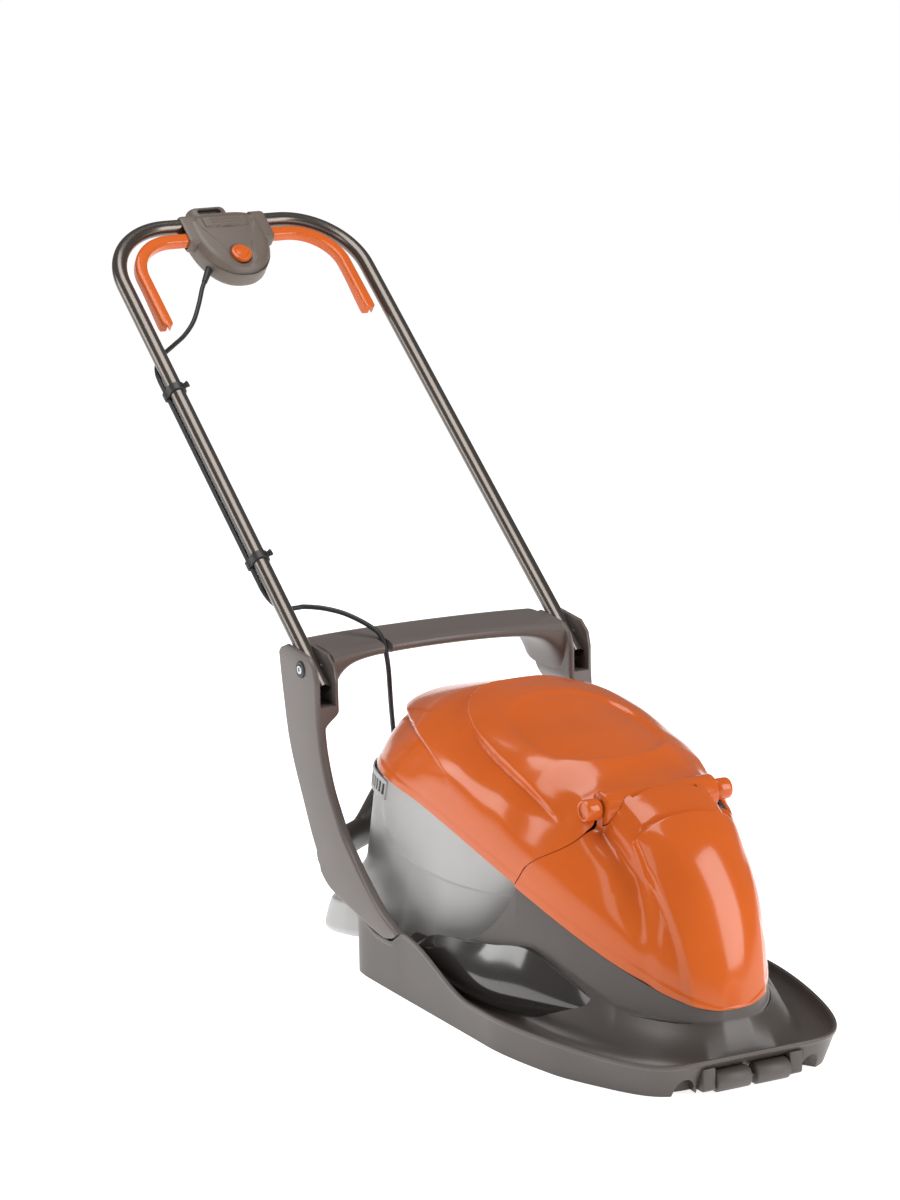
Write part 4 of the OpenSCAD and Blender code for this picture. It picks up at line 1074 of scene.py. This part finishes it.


# Hood and well of the inlet: (v, radius of the ends). The well is black as painted shade for the recess
INLET_WALL = ((788, 14.6), (800, 14), (812, 13.4), (815, 13), (817, 12), (817, 10.6), (815.5, 10), (804, 9.6))
INLET_FLOOR_V = 805
INLET_WELL = ((814, 9.2), (INLET_FLOOR_V, 9), (INLET_FLOOR_V, 0.5))
INLET_SOCKET = [(0, 6.5), (7, 6.5), (8, 6), (8, 4.5), (-5, 4.5)]
SLOT_V = 807
SLOT_R = 6


def oval(half, r, n=48):
    """Ring with round ends of radius r about two points, half to each side."""
    return [(math.copysign(half, p) + p, q) for p, q in ellipse(r, r, n)]


def inlet_ring(v, r):
    return [(INLET_X + p, v, INLET_W + q) for p, q in oval(INLET_HALF, r)]


def inlet_pieces():
    hood = Shape(from_handle).loft([inlet_ring(v, r) for v, r in INLET_WALL])
    ends = oval(INLET_HALF - 5, SLOT_R)
    rows = [[(INLET_X + p, SLOT_V + q, w) for p, q in ends] for w in (INLET_W, INLET_W + 30)]
    slot = Shape(from_handle).loft(rows)
    piece("inlet_hood", hood, SWITCH, "handle", ("mains_inlet",), smooth_angle=40,
          cuts=[slot])
    well = Shape(from_handle).grid([inlet_ring(v, r) for v, r in INLET_WELL], wrap_cols=True)
    well.turned(INLET_SOCKET, (INLET_X, INLET_FLOOR_V, INLET_W), (0, 1, 0), caps=False)
    # Painted shade: the well and its socket are black to stand for the shade inside the recess
    piece("inlet_shade_well", well, BLACK, "handle", smooth_angle=40)


def button_piece():
    top = SB_FRONT_W - 1
    profile = [(BUTTON_FOOT, 0.01), (BUTTON_FOOT, BUTTON_R - 1), (BUTTON_FOOT + 1, BUTTON_R), (top, BUTTON_R),
               (top + 1, BUTTON_R - 0.7), (top + 1.4, BUTTON_R - 1.8), (top + 1.5, 9.8), (top + 0.9, 9.4),
               (top + 0.9, 8.8), (top + 1.5, 8.4), (top + 1.9, 4), (top + 2, 0.01)]
    button = Shape(from_handle).turned(profile, (0, BUTTON_V, 0), (0, 0, 1), caps=False)
    piece("button_cap", button, ORANGE, "button", ("start_button",), smooth_angle=30)


LEVER_R = 66
LEVER_CX = 89
LEVER_TIP_V = 600
LEVER_HALF = 8.4
LEVER_TOP = 8
LEVER_CEILING = 5.2
LEVER_INNER = 0.73
LEVER_RADII = [0.9, 5, 5, 0.9, 0.9, 3.5, 3.5, 0.9]
LEVER_EYE = [(-8, 3.1), (-8, 9), (8, 9), (8, 3.1)]


def lever_line():
    """Middle line of a lever: (x, v, direction) from its pin round the bend to its tip."""
    out = [(x, LEVER_V, (1, 0)) for x in steps(LEVER_X, LEVER_CX, 8)]
    for a in steps(88, 0, 35):
        r = math.radians(a)
        out.append((LEVER_CX + LEVER_R * math.cos(r), LEVER_V - LEVER_R + LEVER_R * math.sin(r),
                    (math.sin(r), -math.cos(r))))
    out += [(LEVER_CX + LEVER_R, v, (0, -1)) for v in steps(LEVER_V - LEVER_R - 4, LEVER_TIP_V - 5, 18)]
    return out


def lever_rows():
    """A channel open at the back, its corners rounded, deeper towards its rounded tip."""
    rows = []
    for x, v, (dx, dv) in lever_line():
        end = ease((LEVER_TIP_V + 75 - v) / 75) if x > LEVER_CX + LEVER_R - 1 else 0
        low = -6 - 4 * end
        close = math.sqrt(max(0, 1 - max(0, (LEVER_TIP_V + 3 - v) / 8.6) ** 2))
        half = LEVER_HALF * close
        inner = half * LEVER_INNER
        foot = low * close
        loop = fillet([(-half, foot), (-half, LEVER_TOP), (half, LEVER_TOP), (half, foot), (inner, foot),
                       (inner, LEVER_CEILING), (-inner, LEVER_CEILING), (-inner, foot)], LEVER_RADII, parts=6)
        rows.append([(x - dv * p, v + dx * p, w) for p, w in loop])
    return rows


def lever_pieces():
    for name, k in (("left", -1), ("right", 1)):
        lever = Shape(lambda p: from_handle((k * p[0], p[1], p[2])))
        lever.loft(lever_rows())
        lever.turned(LEVER_EYE, (LEVER_X, LEVER_V, 0), (0, 0, 1), caps=False)
        piece("squeeze_" + name, lever, ORANGE, "squeeze_" + name, ("lever_" + name,),
              smooth_angle=35)


CLIP_V = (178, 478)
TUBE_X = 187
# Ring round the tube, ring round the cable and stud of a clip: distance along its axis, radius
CLIP_TUBE = [(0, TUBE_D / 2), (0, 12.2), (0.6, 12.8), (11.4, 12.8), (12, 12.2), (12, TUBE_D / 2)]
CLIP_CORD = [(0, 3.3), (0, 5.2), (0.5, 5.7), (11.5, 5.7), (12, 5.2), (12, 3.3)]
CLIP_STUD = [(0, 4), (3.5, 3.8), (4, 4.6), (6.5, 4.4), (7, 3.4), (7, 0.01)]
STUD_AXIS = (0.75, 0, 0.66)


def clip_piece():
    clips = Shape(from_handle)
    for v in CLIP_V:
        clips.turned(CLIP_TUBE, (-TUBE_X, v, 0), (0, 1, 0), caps=False)
        clips.turned(CLIP_CORD, (-TUBE_X - 10, v, -10), (0, 1, 0), caps=False)
        clips.turned(CLIP_STUD, (-TUBE_X + 9, v + 6, 8.5), STUD_AXIS, 24, caps=False)
    piece("clips", clips, BLACK, "handle", ("cable_clips",), smooth_angle=40)


switch_pieces()
inlet_pieces()
button_piece()
lever_pieces()
clip_piece()

# Dress of the pieces that stay as they are
FINISH = {
    "lid_hinge_pins": STEEL, "cable_gland": BLACK, "motor_plate": BLACK, "motor_can": MOTOR,
    "motor_bearings": STEEL, "motor_screws": STEEL, "motor_shaft": STEEL, "impeller": BLACK,
    "blade_spacer": BLACK, "blade": STEEL, "blade_bolt": STEEL, "roller_axle": STEEL, "handle_tube": TUBE,
    "switch_box_screws": STEEL, "switch_unit": BLACK, "cable_sleeve": CORD, "lever_pins": STEEL}
for name, finish in FINISH.items():
    for place in NODES[name].material_slots:
        place.link = "OBJECT"
        place.material = finish

# Pale floor and soft studio light
floor_mesh = bpy.data.meshes.new("floor")
floor_mesh.from_pydata([(-30, -30, 0), (30, -30, 0), (30, 30, 0), (-30, 30, 0)], [], [(0, 1, 2, 3)])
floor = bpy.data.objects.new("floor", floor_mesh)
floor.location.z = -0.0005
bpy.context.scene.collection.objects.link(floor)
PAPER = material("floor_paper", (0.93, 0.93, 0.93), 0.9, grain=60, bump=0.0, vary=0.005, blotch=2)
glow = PAPER.node_tree.nodes["Principled BSDF"]
glow.inputs["Emission Color"].default_value = (1, 1, 1, 1)
glow.inputs["Emission Strength"].default_value = 0.85
floor.data.materials.append(PAPER)

world = bpy.data.worlds.new("studio")
bpy.context.scene.world = world
world.use_nodes = True
sky = world.node_tree.nodes["Background"]
sky.inputs["Color"].default_value = (1, 1, 1, 1)
sky.inputs["Strength"].default_value = 0.16


def softbox(name, at, target, width, height, power_w):
    """A rectangular lamp that faces its target; metres and watts."""
    light = bpy.data.lights.new(name, "AREA")
    light.shape = "RECTANGLE"
    light.size = width
    light.size_y = height
    light.energy = power_w
    obj = bpy.data.objects.new(name, light)
    bpy.context.scene.collection.objects.link(obj)
    obj.location = at
    away = np.array(at, float) - np.array(target, float)
    obj.rotation_euler = (math.atan2(math.hypot(away[0], away[1]), away[2]), 0,
                          math.atan2(away[0], -away[1]))


softbox("key_right", (1.7, -2.7, 1.5), (0, -0.4, 0.2), 1.2, 2.5, 60)
softbox("top", (-0.4, 0.1, 3.0), (0, -0.2, 0.2), 2.4, 1.6, 56)
softbox("left_back", (-2.35, 1.8, 1.2), (-0.1, -0.4, 0.1), 1.5, 1.0, 20)
softbox("fill_left", (-3.0, -1.2, 1.6), (0, -0.2, 0.3), 1.0, 1.8, 13)
